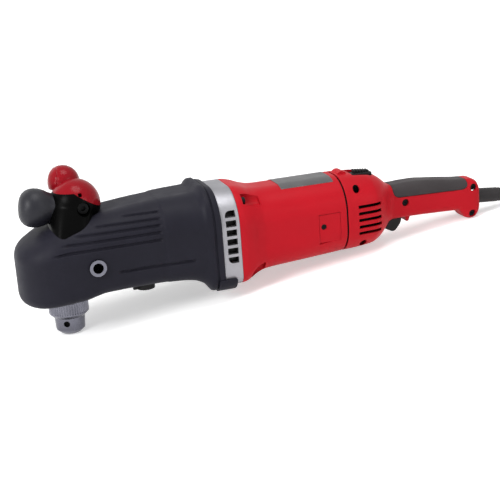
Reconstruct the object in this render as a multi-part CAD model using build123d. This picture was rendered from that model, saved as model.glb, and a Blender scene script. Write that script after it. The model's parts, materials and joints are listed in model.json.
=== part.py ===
from build123d import *
import math
import os

# A corded right-angle drill. Millimetres. The pieces are laid out in the tool's own frame: X runs along the
# motor axis towards the rear handle, with X = 0 where the silver collar meets the motor housing, Y points to
# the far side and Z up, with the chuck hanging below. At the end every piece is pitched and lifted so that
# the drill stands on its chuck nose and on the heel of its handle, with Z = 0 at the floor.

# Overall sizes
head_length = 195.6       # spindle axis to the motor housing
motor_length = 135.0      # motor housing, from the collar to the rear joint
handle_length = 191.0     # rear joint to the end of the handle
boot_half = 55.0          # half width of the rubber boot, and radius of its nose
collar_half = 56.0        # half width and half height of the collar
collar_depth = 42.0
collar_shown = 26.0       # the length of collar that the boot's flange leaves bare

# Walls and clearances
boot_wall = 4.0
case_wall = 5.0
collar_wall = 6.0
housing_wall = 3.5
handle_wall = 3.6
slip = 0.15               # room between pieces of one body that slide together
seat_fit = 0.02           # room round a bearing in its seat, or a gear on its shaft
running = 0.03            # room between a turning shaft and its bearing
air = 0.3                 # room between moving pieces

# Motor
shaft_r = 6.0
core_r = 26.4
core_front, core_rear = 36.0, 92.0
field_r = 41.0
field_air = 0.8
commutator_r = 15.0
commutator_length = 22.0
fan_r = 43.0
fan_blades = 11
brush_x = motor_length - 19.0
brush_wide, brush_tall = 8.8, 11.0

# Bearings: outer radius and width
motor_bearing = (12.0, 6.0)
idler_bearing = (7.0, 6.0)
pinion_front_size = (12.0, 8.0)
pinion_rear_size = (11.0, 7.0)
spindle_low_size = (21.0, 12.0)
spindle_top_size = (13.0, 8.0)

# Gears: two spur stages and a bevel pair
spur_module = 0.8
motor_teeth, idler_gear_teeth = 12, 43
idler_pinion_teeth, final_teeth = 15, 40
gear_centres = spur_module * (motor_teeth + idler_gear_teeth) / 2
bevel_module = 1.75
bevel_pinion_teeth, bevel_gear_teeth = 13, 39
bevel_face = 10.0
pressure_angle = math.radians(25)
spur_backlash = 0.22
bevel_backlash = 0.36
idler_r = 4.0
pinion_shaft_r = 6.0
spindle_r = 10.0
spindle_tip_r = 6.0

# Chuck
sleeve_r = 23.0
sleeve_top, sleeve_bottom = -54.2, -73.2
chuck_top, chuck_nose = -51.0, -93.0
chuck_core_r = 18.6
nose_top_r, nose_r, nose_flat_r = 17.6, 16.6, 12.5
chuck_bore_r = 6.5
thread_r = 7.94
jaw_r = 3.9
jaw_tilt = 12.0
jaw_length = 27.0
jaw_stop_r = 6.7
jaw_phase = -52.0         # direction of the first jaw, degrees round the spindle from X
sleeve_teeth = 24

# Handles, trigger and lever
grip_half = 17.5
pad_depth = 2.0
ball_x = -head_length + 20.6       # middle of the front handle's body
ball_z = 55.0
ball_r = 29.0
skirt_long_r, skirt_wide_r = 31.0, 50.0
knob_r = 19.2
bulb_r = 22.0
trigger_half = 6.5
lever_half = 5.5

# Cord
cord_d = 8.5
relief_droop = 5.0
relief_length = 46.0
relief_r, relief_waist_r, relief_tip_r = 9.2, 8.8, 6.2
relief_waist = 33.0       # from here the strain relief tapers to its tip
layer_turns = 3.25
coil_pitch = 9.3
coil_middle_r = 51.0
layer_rise = 9.2
tie_thick = 1.2

spindle_x = -head_length
collar_front = -collar_depth
handle_x = motor_length + 0.4
handle_end = motor_length + handle_length

nodes = {}


# Plain shapes

def rod_x(x0, x1, r, y=0.0, z=0.0):
    return Pos((x0 + x1) / 2, y, z) * Rot(0, 90, 0) * Cylinder(r, x1 - x0)


def rod_y(y0, y1, r, x=0.0, z=0.0):
    return Pos(x, (y0 + y1) / 2, z) * Rot(90, 0, 0) * Cylinder(r, y1 - y0)


def rod_z(z0, z1, r, x=0.0, y=0.0):
    return Pos(x, y, (z0 + z1) / 2) * Cylinder(r, z1 - z0)


def block(x0, x1, y0, y1, z0, z1):
    return Pos((x0 + x1) / 2, (y0 + y1) / 2, (z0 + z1) / 2) * Box(x1 - x0, y1 - y0, z1 - z0)


def turned(points, x=0.0, y=0.0):
    """A solid turned about the vertical line at x, y from (radius, height) points."""
    face = make_face(Polyline(*[(r, 0, z) for r, z in points], close=True))
    return Pos(x, y, 0) * revolve(face, Axis.Z, 360)


def turned_x(points):
    """A solid turned about the motor axis from (position, radius) points."""
    face = make_face(Polyline(*[(x, 0, r) for x, r in points], close=True))
    return revolve(face, Axis.X, 360)


def side_plate(points, y0, y1):
    """A plate with a side-view outline of (X, Z) points."""
    face = make_face(Polyline(*[(x, y0, z) for x, z in points], close=True))
    return extrude(face, amount=y1 - y0, dir=(0, 1, 0))


def section(half, top, bottom, top_round, bottom_round):
    """A cross section with rounded corners, larger radii above."""
    outline = Polygon((-half, bottom), (half, bottom), (half, top), (-half, top), align=None)
    outline = fillet(outline.vertices().group_by(Axis.Y)[-1], top_round)
    return fillet(outline.vertices().group_by(Axis.Y)[0], bottom_round)


def form(stations, inset):
    """A body lofted through (x, half, top, bottom, top_round, bottom_round) stations, drawn in by inset."""
    faces = []
    for x, half, top, bottom, top_round, bottom_round in stations:
        rounds = max(top_round - inset, 1.0), max(bottom_round - inset, 1.0)
        faces.append(Plane.YZ.offset(x) * section(half - inset, top - inset, bottom + inset, *rounds))
    return loft(faces, ruled=True)


def bar(x0, x1, station, inset):
    """A straight stretch of one cross section."""
    return form([(x0, *station), (x1, *station)], inset)


# Head: gear case, rubber boot, carriers

head_stations = [
    (collar_front, boot_half, 54.0, -42.0, 38.0, 14.0),
    (spindle_x + 80.0, boot_half, 50.0, -40.0, 38.0, 14.0),
    (spindle_x + 40.0, boot_half, 44.5, -40.0, 36.0, 14.0),
    (spindle_x + 13.6, boot_half, 40.0, -44.5, 34.5, 14.0),
    (spindle_x, boot_half, 38.0, -45.0, 34.0, 14.0),
]
nose_top, nose_bottom = head_stations[-1][2], head_stations[-1][3]
flange_station = (collar_half + 3.5, collar_half + 3.5, -collar_half - 3.5, 42.0, 18.0)
collar_station = (collar_half, collar_half, -collar_half, 40.0, 15.0)
spigot_station = (collar_half - 1.4, collar_half - 1.4, -collar_half + 1.4, 38.6, 13.6)


def head_form(inset):
    body = form(head_stations, inset)
    x, half, top, bottom, top_round, bottom_round = head_stations[-1]
    half_face = section(half - inset, top - inset, bottom + inset, top_round - inset, bottom_round - inset)
    half_face = half_face & Pos(half, 0) * Rectangle(2 * half, 4 * half)
    nose = revolve(Plane.YZ * half_face, Axis.Z, 180)
    return body + Pos(x, 0, 0) * nose


case_inset = boot_wall + slip
case_floor = nose_bottom + case_inset
case_roof = nose_top - case_inset - case_wall
bushing_x, bushing_z = spindle_x + 29.6, -7.0
bushing_r, bushing_bore_r = 9.4, 6.0
bushing_out = boot_half + 2.5
bushing_in = boot_half - 16.0
selector_x, selector_stem_r = spindle_x + 92.0, 5.0
retainer_r, retainer_hole_r = 30.0, 14.0
retainer_screw_circle = retainer_r - 4.4
seat_low = case_floor + 0.5
seat_low_top = seat_low + spindle_low_size[1]
seat_top = case_roof - 2.6
seat_top_low = seat_top - spindle_top_size[1]
bolt_r, bolt_head_r = 4.0, 6.2
post_x, post_r, post_top = ball_x + 5.0, 9.0, ball_z + 11.0
bolt_z = ball_z - 1.0
bolt_seat = ball_r - 13.0

gear_case = head_form(case_inset) - head_form(case_inset + case_wall)
gear_case += rod_z(case_floor, case_floor + case_wall + 2, retainer_r, spindle_x)
gear_case += rod_z(case_floor, seat_low_top + 0.2, spindle_low_size[0] + 4, spindle_x)
gear_case += rod_z(seat_top_low - 0.4, case_roof + 2, spindle_top_size[0] + 3, spindle_x)
gear_case += rod_z(case_roof + 1, post_top, post_r, post_x)
gear_case -= rod_z(case_floor - 1, seat_low_top + 1, spindle_low_size[0] + seat_fit, spindle_x)
gear_case -= rod_z(seat_top_low - 1, seat_top + 0.3, spindle_top_size[0] + seat_fit, spindle_x)
gear_case -= rod_y(-post_r - 1, post_r + 1, bolt_r + seat_fit, post_x, bolt_z)
for side in (-1, 1):
    y0, y1 = sorted((side * (bushing_in - 3), side * (boot_half - case_inset - 0.5)))
    gear_case += rod_y(y0, y1, bushing_r + 2.6, bushing_x, bushing_z)
    y0, y1 = sorted((side * bushing_in, side * boot_half))
    gear_case -= rod_y(y0, y1, bushing_r + seat_fit, bushing_x, bushing_z)
selector_floor = -40.0 + case_inset
gear_case -= rod_z(selector_floor - 3, selector_floor + 12, selector_stem_r + running, selector_x)
screw_spots = [
    (spindle_x + retainer_screw_circle * math.cos(math.radians(a)),
     retainer_screw_circle * math.sin(math.radians(a)))
    for a in (45, 135, 225, 315)
]
for x, y in screw_spots:
    gear_case -= rod_z(case_floor - 1, case_floor + case_wall + 6, 1.75 + seat_fit, x, y)

boot = head_form(0) - head_form(boot_wall)
boot += bar(collar_front - 4, -collar_shown, flange_station, 0) - head_form(boot_wall)
boot -= bar(collar_front, -collar_shown, spigot_station, -slip)
tab_end = -collar_shown + 18.5
tab = bar(-collar_shown, tab_end, flange_station, 0) - bar(-collar_shown, 0, collar_station, -slip)
boot += tab & (block(-collar_shown, 0, 36, 70, -70, -45) + block(-collar_shown, 0, -70, -36, -70, -45))
boot -= rod_z(nose_bottom - 1, nose_bottom + boot_wall + 8, retainer_r + slip, spindle_x)
boot -= rod_z(20, 60, post_r + slip, post_x)
boot -= rod_y(-boot_half - 3, boot_half + 3, bushing_r + slip, bushing_x, bushing_z)
boot -= rod_z(-48, selector_floor + 1, selector_stem_r + 6.4, selector_x)
nodes["gear_case"] = gear_case
nodes["rubber_boot"] = boot

bushings = []
for side in (-1, 1):
    y0, y1 = sorted((side * bushing_in, side * bushing_out))
    bushing = rod_y(y0, y1, bushing_r, bushing_x, bushing_z)
    bushings.append(bushing - rod_y(y0, y1, bushing_bore_r, bushing_x, bushing_z))
nodes["side_handle_bushings"] = bushings

retainer = rod_z(nose_bottom, case_floor - slip, retainer_r, spindle_x)
retainer -= rod_z(nose_bottom - 1, case_floor + 1, retainer_hole_r, spindle_x)
retainer_screws = []
for x, y in screw_spots:
    retainer -= rod_z(nose_bottom - 1, case_floor + 1, 1.95, x, y)
    retainer -= rod_z(nose_bottom - 1, nose_bottom + 1.9, 3.0, x, y)
    screw = rod_z(nose_bottom + 1.9, case_floor + 8, 1.75, x, y)
    screw += rod_z(nose_bottom + 0.2, nose_bottom + 1.9, 2.8, x, y)
    retainer_screws.append(screw - rod_z(nose_bottom, nose_bottom + 1.2, 1.3, x, y))
nodes["spindle_retainer"] = retainer
nodes["retainer_screws"] = retainer_screws


def inner_section(x):
    """The hollow of the gear case at x, as station sizes."""
    for back, front in zip(head_stations, head_stations[1:]):
        if front[0] <= x <= back[0]:
            share = (x - back[0]) / (front[0] - back[0])
            return tuple(a + share * (b - a) for a, b in zip(back[1:], front[1:]))
    return head_stations[-1][1:]


def carrier(x0, x1, bearing, hole):
    """A bearing plate across the gear case, with a seat on the motor axis and another hole at the idler."""
    picks = (min, min, max, max, max)
    smaller = tuple(pick(a, b) for pick, a, b in zip(picks, inner_section(x0), inner_section(x1)))
    plate = bar(x0, x1, smaller, case_inset + case_wall + slip)
    plate -= rod_x(x0 - 1, x1 + 1, bearing[0] + seat_fit)
    return plate - rod_x(x0 - 1, x1 + 1, hole, gear_centres)


front_x = spindle_x + 45.6
rear_x = collar_front - 42.0
front_carrier = carrier(front_x, front_x + 12, pinion_front_size, idler_bearing[0] + seat_fit)
nodes["front_bearing_carrier"] = front_carrier
nodes["rear_bearing_carrier"] = carrier(rear_x, rear_x + 10, pinion_rear_size, idler_r + 4.5)


# Gears

def involute(angle):
    return math.tan(angle) - angle


def half_tooth(teeth, module, backlash, radius):
    """Half the angle of a tooth at a radius."""
    pitch_r = teeth * module / 2
    at_radius = math.acos(min(1.0, pitch_r * math.cos(pressure_angle) / radius))
    return math.pi / 2 / teeth - backlash / 2 / pitch_r + involute(pressure_angle) - involute(at_radius)


def spur_gear(teeth, module, width, bore, phase):
    """A gear on the Z axis from z = 0, its first tooth at the phase angle."""
    pitch_r = teeth * module / 2
    tip, root = pitch_r + module, pitch_r - 1.25 * module
    foot = max(root, pitch_r * math.cos(pressure_angle))
    edges = []
    for k in range(teeth):
        middle = phase + 2 * math.pi * k / teeth

        def at(radius, side, flank=None):
            angle = middle + side * half_tooth(teeth, module, spur_backlash, flank or radius)
            return radius * math.cos(angle), radius * math.sin(angle)

        mean = (foot + tip) / 2
        low, high = [at(root, s, foot) for s in (-1, 1)], [at(tip, s) for s in (-1, 1)]
        starts, middles = [at(foot, s) for s in (-1, 1)], [at(mean, s) for s in (-1, 1)]
        if foot - root > 1e-6:
            edges.append(Line(low[0], starts[0]))
        edges.append(ThreePointArc(starts[0], middles[0], high[0]))
        edges.append(Line(high[0], high[1]))
        edges.append(ThreePointArc(high[1], middles[1], starts[1]))
        if foot - root > 1e-6:
            edges.append(Line(starts[1], low[1]))
        middle += 2 * math.pi / teeth
        edges.append(Line(low[1], at(root, -1, foot)))
    gear = extrude(make_face(edges), amount=width)
    return gear - Cylinder(bore, 3 * width) if bore else gear


def along_x(shape, x, y=0.0):
    """A shape built on the Z axis, laid along X from x. Its first direction stays level, towards +Y."""
    return Pos(x, y, 0) * (Plane.YZ * shape)


def bevel_teeth(teeth, mate_teeth):
    """The teeth of a bevel gear, apex at the origin, axis on +Z and first tooth towards +X."""
    pitch = math.atan2(teeth, mate_teeth)
    large_r = teeth * bevel_module / 2
    cone = large_r / math.sin(pitch)
    small = (cone - bevel_face) / cone
    flat_teeth = teeth / math.cos(pitch)
    flat_r = large_r / math.cos(pitch)
    heights = (-1.25 * bevel_module - 0.8, -0.55 * bevel_module, 0.0, 0.5 * bevel_module, 0.95 * bevel_module)
    flank = []
    for h in heights:
        angle = half_tooth(flat_teeth, bevel_module, bevel_backlash, max(flat_r + h, 0.93 * flat_r))
        flank.append(((flat_r + h) * math.sin(angle), (flat_r + h) * math.cos(angle) - flat_r))
    outline = flank + [(-t, h) for t, h in reversed(flank)]
    start = Vector(large_r, 0, cone * math.cos(pitch))
    lift = Vector(math.cos(pitch), 0, -math.sin(pitch))
    large = [start + Vector(0, t, 0) + lift * h for t, h in outline]
    faces = [make_face(Polyline(*[p * k for p in large], close=True)) for k in (1.0, small)]
    tooth = loft(faces, ruled=True)
    return [Rot(0, 0, 360 * k / teeth) * tooth for k in range(teeth)]


def bevel_root(teeth, mate_teeth):
    """The root line of a bevel gear as (radius, distance from the apex), at its large and small ends."""
    pitch = math.atan2(teeth, mate_teeth)
    large_r = teeth * bevel_module / 2
    cone = large_r / math.sin(pitch)
    depth = 1.25 * bevel_module
    r, h = large_r - depth * math.cos(pitch), cone * math.cos(pitch) + depth * math.sin(pitch)
    small = (cone - bevel_face) / cone
    return (r, h), (r * small, h * small)


# Gear train

stage_one_x = collar_front - 30.0      # front of the motor pinion and the idler's large gear
stage_one_wide = 13.0
stage_two_x = rear_x - 20.0            # front of the idler pinion and the final spur gear
stage_two_wide = 15.0
shaft_front = stage_one_x
armature_rear = motor_length - 1.0
front_bearing_x = collar_front + 2.0

pinion = spur_gear(motor_teeth, spur_module, stage_one_wide + 3, 0, 0.0)
nodes["armature_pinion"] = along_x(pinion, stage_one_x)

idler_front = front_x + 2.0
idler_rear = collar_front + 5.5
idler = rod_x(idler_front, idler_rear, idler_r, gear_centres)
idler_pinion = spur_gear(idler_pinion_teeth, spur_module, stage_two_wide + 3, 0, math.pi)
idler += along_x(idler_pinion, stage_two_x - 1.5, gear_centres)
nodes["idler_shaft"] = idler
large_gear = spur_gear(
    idler_gear_teeth, spur_module, stage_one_wide, idler_r + seat_fit, math.pi + math.pi / idler_gear_teeth
)
nodes["idler_gear"] = along_x(large_gear, stage_one_x + 1.5, gear_centres)


def ring_x(x0, x1, outer, inner, y=0.0):
    return rod_x(x0, x1, outer, y) - rod_x(x0 - 1, x1 + 1, inner, y)


nodes["gear_shaft_bearings"] = [
    ring_x(idler_front - 1, idler_front - 1 + idler_bearing[1],
           idler_bearing[0], idler_r + running, gear_centres),
    ring_x(collar_front, collar_front + idler_bearing[1], idler_bearing[0], idler_r + running, gear_centres),
]

(pin_r, pin_far), (pin_small_r, pin_near) = bevel_root(bevel_pinion_teeth, bevel_gear_teeth)
pinion_rear = rear_x + 9.0
bevel_pinion = turned([
    (0, pin_near), (pin_small_r, pin_near), (pin_r, pin_far), (pin_r, pin_far + 4), (0, pin_far + 4),
])
bevel_pinion = bevel_pinion + bevel_teeth(bevel_pinion_teeth, bevel_gear_teeth)
pinion_shaft = Pos(spindle_x, 0, 0) * Rot(0, 90, 0) * bevel_pinion
pinion_shaft += rod_x(spindle_x + pin_far + 3, pinion_rear, pinion_shaft_r)
nodes["bevel_pinion_shaft"] = pinion_shaft
final_turn = math.pi / final_teeth
final_gear = spur_gear(final_teeth, spur_module, stage_two_wide, pinion_shaft_r + seat_fit, final_turn)
nodes["final_spur_gear"] = along_x(final_gear, stage_two_x)
nodes["gear_shaft_bearings"] += [
    ring_x(front_x + 2, front_x + 2 + pinion_front_size[1], pinion_front_size[0], pinion_shaft_r + running),
    ring_x(rear_x + 1.5, rear_x + 1.5 + pinion_rear_size[1], pinion_rear_size[0], pinion_shaft_r + running),
]

(gear_r, gear_far), (gear_small_r, gear_near) = bevel_root(bevel_gear_teeth, bevel_pinion_teeth)
hub_low = -seat_low_top - 1.8
bevel_gear = turned([
    (spindle_r + seat_fit, 8), (18, 8), (21.5, gear_near - 0.6),
    (gear_small_r, gear_near), (gear_r, gear_far),
    (gear_r, gear_far + 3.5), (26, gear_far + 9), (14, gear_far + 9),
    (14, hub_low), (spindle_r + seat_fit, hub_low),
])
bevel_gear = bevel_gear + bevel_teeth(bevel_gear_teeth, bevel_pinion_teeth)
nodes["bevel_gear"] = Pos(spindle_x, 0, 0) * Rot(180, 0, 0) * Rot(0, 0, 180 / bevel_gear_teeth) * bevel_gear

thread_tip = chuck_top - 13.0
nodes["spindle"] = turned([
    (0, seat_top), (spindle_tip_r, seat_top), (spindle_tip_r, -6), (spindle_r, -6), (spindle_r, -hub_low),
    (spindle_r + 2.5, -hub_low), (spindle_r + 2.5, seat_low_top + 0.1), (spindle_r, seat_low_top + 0.1),
    (spindle_r, chuck_top + seat_fit), (thread_r, chuck_top + seat_fit),
    (thread_r, thread_tip), (0, thread_tip),
], spindle_x)


def ring_z(z0, z1, outer, inner):
    return rod_z(z0, z1, outer, spindle_x) - rod_z(z0 - 1, z1 + 1, inner, spindle_x)


nodes["spindle_bearings"] = [
    ring_z(seat_low, seat_low_top, spindle_low_size[0], spindle_r + running),
    ring_z(seat_top_low, seat_top, spindle_top_size[0], spindle_tip_r + running),
]


# Chuck

def jaw_place(turn):
    """The axis of one jaw, leaning outwards going up."""
    lean = Rot(0, jaw_tilt, 0)
    return Pos(spindle_x, 0, 0) * Rot(0, 0, turn) * Pos(jaw_stop_r + 2.4, 0, chuck_nose + 0.6) * lean


jaw_turns = (jaw_phase, jaw_phase + 120, jaw_phase + 240)
chuck_body = turned([
    (0, chuck_top), (nose_top_r, chuck_top), (chuck_core_r, chuck_top - 3),
    (chuck_core_r, sleeve_bottom + 0.4),
    (nose_top_r, sleeve_bottom - 1.2), (nose_r, chuck_nose + 4), (nose_flat_r, chuck_nose), (0, chuck_nose),
], spindle_x)
nut_low, nut_high = sleeve_bottom + 5.0, sleeve_bottom + 11.0
nut_in_r, nut_out_r = chuck_core_r + 0.8, chuck_core_r + 2.6
chuck_body -= rod_z(chuck_nose - 1, thread_tip - 2, chuck_bore_r, spindle_x)
chuck_body -= rod_z(thread_tip - 1, chuck_top + 1, thread_r + seat_fit, spindle_x)
key_hole_z = sleeve_bottom - 6.5
for turn in jaw_turns:
    chuck_body -= jaw_place(turn) * Pos(0, 0, jaw_length / 2) * Cylinder(jaw_r + 0.1, jaw_length + 12)
    key_hole = Rot(0, 90, 0) * Cylinder(3.7, 24, align=(Align.CENTER, Align.CENTER, Align.MIN))
    chuck_body -= Pos(spindle_x, 0, key_hole_z) * Rot(0, 0, turn + 60) * Pos(9.5, 0, 0) * key_hole
nodes["chuck_body"] = chuck_body

nodes["chuck_nut"] = ring_z(nut_low + 0.1, nut_high - 0.1, nut_out_r, nut_in_r)
sleeve = turned([
    (chuck_core_r + 0.15, sleeve_top), (sleeve_r - 1, sleeve_top), (sleeve_r, sleeve_top - 1),
    (sleeve_r, sleeve_bottom + 4), (sleeve_r - 4.0, sleeve_bottom), (chuck_core_r + 0.15, sleeve_bottom),
], spindle_x)
sleeve -= ring_z(nut_low, nut_high, nut_out_r + seat_fit, chuck_core_r - 1)
notch = Pos(sleeve_r - 1.2, 0, sleeve_bottom + 0.6) * Rot(0, -45, 0) * Box(9, 2.6, 3.4)
sleeve -= [Pos(spindle_x, 0, 0) * Rot(0, 0, 360 * k / sleeve_teeth) * notch for k in range(sleeve_teeth)]
nodes["chuck_sleeve"] = sleeve

wedge_half = 60 * math.tan(math.radians(59))
wedge = Polygon((0, 0), (60, -wedge_half), (60, wedge_half), align=None)
for number, turn in enumerate(jaw_turns, start=1):
    jaw = jaw_place(turn) * Cylinder(jaw_r, jaw_length, align=(Align.CENTER, Align.CENTER, Align.MIN))
    keep = Rot(0, 0, turn) * Pos(jaw_stop_r, 0, 0) * extrude(wedge, amount=60)
    keep = Pos(spindle_x, 0, chuck_nose + 0.3) * keep
    nodes[f"chuck_jaw_{number}"] = jaw & keep


# Collar and motor

chamber_front = collar_front + 10.0
screw_places = [(38.8, 39.4), (-38.8, 39.4), (43.0, -43.0), (-43.0, -43.0)]
screw_r, screw_head_r = 2.5, 4.3
head_seat_x = 8.0
collar_outer = bar(-collar_shown, 0, collar_station, 0) + bar(collar_front, -collar_shown, spigot_station, 0)
collar = collar_outer - bar(chamber_front, 1, spigot_station, collar_wall - 1.4)
for y, z in screw_places:
    collar += collar_outer & rod_x(chamber_front - 1, 0, screw_r + 3, y, z)
    collar -= rod_x(chamber_front - 4, 1, screw_r + seat_fit, y, z)
collar -= rod_x(collar_front - 1, front_bearing_x, shaft_r + 2)
collar -= rod_x(front_bearing_x, chamber_front + 1, motor_bearing[0] + seat_fit)
idler_seat = idler_bearing[0] + seat_fit
collar -= rod_x(collar_front - 1, collar_front + idler_bearing[1] + 0.5, idler_seat, gear_centres)
slot_count, slot_step, slot_tall, slot_top = 6, 10.7, 7.4, 30.0
slot_floor = collar_half - collar_wall - 4
for k in range(slot_count):
    z = slot_top - slot_step * k
    slot = block(-16.6, -4.4, -80, 80, z - slot_tall / 2, z + slot_tall / 2)
    collar -= slot - block(-60, 60, -slot_floor, slot_floor, -80, 80)
nodes["collar"] = collar

housing_stations = [
    (0.0, collar_half, collar_half, -collar_half, 40.0, 15.0),
    (6.0, collar_half - 0.6, collar_half - 0.8, -collar_half + 0.6, 40.0, 16.0),
    (34.0, 47.0, 45.3, -47.5, 37.0, 30.0),
    (motor_length, 45.5, 46.0, -46.5, 38.0, 36.0),
]
rear_station = housing_stations[-1][1:]


def housing_form(inset):
    return form(housing_stations, inset)


housing = housing_form(0) - housing_form(housing_wall)
hollow = housing_form(housing_wall - 0.5)
for x in (core_front, core_rear - 6):
    housing += hollow & (block(x, x + 6, -70, 70, -70, 70) - rod_x(x - 1, x + 7, field_r + slip))
for y, z in screw_places:
    housing += housing_form(0) & rod_x(0, 36, screw_r + 5, y, z)
    housing -= rod_x(-1, head_seat_x + 1, screw_r + seat_fit, y, z)
    housing -= rod_x(head_seat_x, 35, screw_head_r + 2.4, y, z)
bearing_x = motor_length - 8.0
housing += rod_x(bearing_x, motor_length, motor_bearing[0] + 3)
arms = block(bearing_x, motor_length, -4, 4, -70, 70) + block(bearing_x, motor_length, -70, 70, -4, 4)
housing += hollow & (arms - rod_x(0, motor_length + 1, motor_bearing[0] + 2))
housing -= rod_x(bearing_x - 1, motor_length + 1, motor_bearing[0] + seat_fit)
spigot_inset = handle_wall + 0.6
housing += bar(motor_length - 2, motor_length + 6, rear_station, housing_wall - 0.5) \
    - bar(motor_length - 3, motor_length + 7, rear_station, spigot_inset + 2.4) \
    - (block(motor_length, motor_length + 7, -70, 70, -70, 70)
       - bar(0, motor_length + 7, rear_station, spigot_inset))
door_x0, door_x1, door_z0, door_z1 = motor_length - 36.0, motor_length - 9.5, -24.5, 9.5
door_depth = 2.2
door_screw_x, door_screw_z = motor_length - 30.5, -5.0
brush_doors, door_screws, holders, brushes, brush_springs = [], [], [], [], []
for side in (-1, 1):

    def beside(x0, x1, y0, y1, z0, z1):
        near, far = sorted((side * y0, side * y1))
        return block(x0, x1, near, far, z0, z1)

    def across(y0, y1, r, x, z):
        near, far = sorted((side * y0, side * y1))
        return rod_y(near, far, r, x, z)

    def brush_box(spare, y0, y1):
        half_x, half_z = brush_wide / 2 + spare, brush_tall / 2 + spare
        return beside(brush_x - half_x, brush_x + half_x, y0, y1, -half_z, half_z)

    housing += brush_box(3.2, 24, 43.2)
    housing += across(38.5, 43.2, 3.2, door_screw_x, door_screw_z)
    housing -= beside(door_x0, door_x1, 20, 80, door_z0, door_z1) - housing_form(door_depth)
    housing -= brush_box(1.1, 20, 50)
    housing -= across(38, 50, 1.5 + seat_fit, door_screw_x, door_screw_z)
    door = beside(door_x0 + slip, door_x1 - slip, 20, 80, door_z0 + slip, door_z1 - slip)
    door = door & (housing_form(0) - housing_form(door_depth - 0.05))
    brush_doors.append(door - across(30, 60, 3.5, door_screw_x, door_screw_z))
    screw = across(39.5, 43.9, 1.5, door_screw_x, door_screw_z)
    screw += across(43.9, 45.2, 3.1, door_screw_x, door_screw_z)
    door_screws.append(screw - across(44.4, 46, 1.4, door_screw_x, door_screw_z))
    holders.append(brush_box(1.0, 18, 42.2) - brush_box(0.1, 17, 41.2))
    brushes.append(brush_box(0.0, commutator_r + air, 33))
    brush_springs.append(across(33, 41.2, 3.4, brush_x, 0) - across(32, 42, 2.6, brush_x, 0))
nodes["motor_housing"] = housing
nodes["brush_doors"] = brush_doors
nodes["brush_door_screws"] = door_screws
nodes["brush_holders"] = holders
nodes["carbon_brushes"] = brushes
nodes["brush_springs"] = brush_springs

housing_screws = []
for y, z in screw_places:
    screw = rod_x(chamber_front - 3, head_seat_x, screw_r, y, z)
    screw += rod_x(head_seat_x, head_seat_x + 4, screw_head_r, y, z)
    housing_screws.append(screw - rod_x(head_seat_x + 2, head_seat_x + 6, 2.0, y, z))
nodes["housing_screws"] = housing_screws

plate_x0, plate_x1, plate_half, plate_thick = motor_length - 73.0, motor_length - 8.0, 25.0, 0.45
plate = housing_form(-0.05 - plate_thick) - housing_form(-0.05)
nodes["rating_plate"] = plate & block(plate_x0, plate_x1, -plate_half, plate_half, 20, 80)

bore_r = core_r + field_air
pole_r = field_r - 7.0
field = rod_x(core_front, core_rear, field_r) - rod_x(core_front - 1, core_rear + 1, bore_r)
coil_gap = rod_x(core_front - 1, core_rear + 1, pole_r) - rod_x(core_front - 2, core_rear + 2, bore_r - 1)
coil_side = block(core_front - 1, core_rear + 1, -60, 60, -19, 19)
nodes["field_stack"] = field - (coil_gap & coil_side)
field_coils = []
for side in (-1, 1):
    z0, z1 = sorted((side * 0.8, side * 18.4))
    over = rod_x(core_front - 9, core_rear + 9, pole_r - 0.4)
    over -= rod_x(core_front - 10, core_rear + 10, bore_r + 0.6)
    legs = over & block(core_front - 9, core_rear + 9, -60, 60, z0, z1)
    z0, z1 = sorted((side * 0.8, side * 60))
    beyond = block(core_front - 9, core_front - 0.4, -60, 60, z0, z1)
    beyond += block(core_rear + 0.4, core_rear + 9, -60, 60, z0, z1)
    ends = over & beyond
    field_coils.append(legs + ends)
nodes["field_coils"] = field_coils

commutator_x = brush_x - commutator_length / 2
nodes["armature_shaft"] = rod_x(shaft_front + stage_one_wide + 3, armature_rear, shaft_r)
nodes["armature_core"] = ring_x(core_front, core_rear, core_r, shaft_r + seat_fit)
nodes["armature_windings"] = [
    turned_x([
        (core_front - 13, shaft_r + 2), (core_front - 13, 17), (core_front - 8, 23),
        (core_front, 23), (core_front, shaft_r + 2),
    ]),
    turned_x([
        (core_rear, shaft_r + 2), (core_rear, 23), (core_rear + 7, 22),
        (commutator_x - 0.2, 15), (commutator_x - 0.2, shaft_r + 2),
    ]),
]
nodes["commutator"] = ring_x(commutator_x, commutator_x + commutator_length, commutator_r, shaft_r + seat_fit)
nodes["armature_bearings"] = [
    ring_x(front_bearing_x, front_bearing_x + motor_bearing[1], motor_bearing[0], shaft_r + running),
    ring_x(bearing_x + 0.5, bearing_x + 0.5 + motor_bearing[1], motor_bearing[0], shaft_r + running),
]
fan_x = chamber_front + 9.5
fan = ring_x(fan_x, fan_x + 2.2, fan_r, shaft_r + seat_fit)
fan += ring_x(fan_x, fan_x + 16, 11, shaft_r + seat_fit)
blade = block(fan_x + 1, fan_x + 15, 17, fan_r - 0.5, -0.9, 0.9)
fan += [Rot(360 * k / fan_blades, 0, 0) * blade for k in range(fan_blades)]
nodes["cooling_fan"] = fan


# Rear handle

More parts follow.
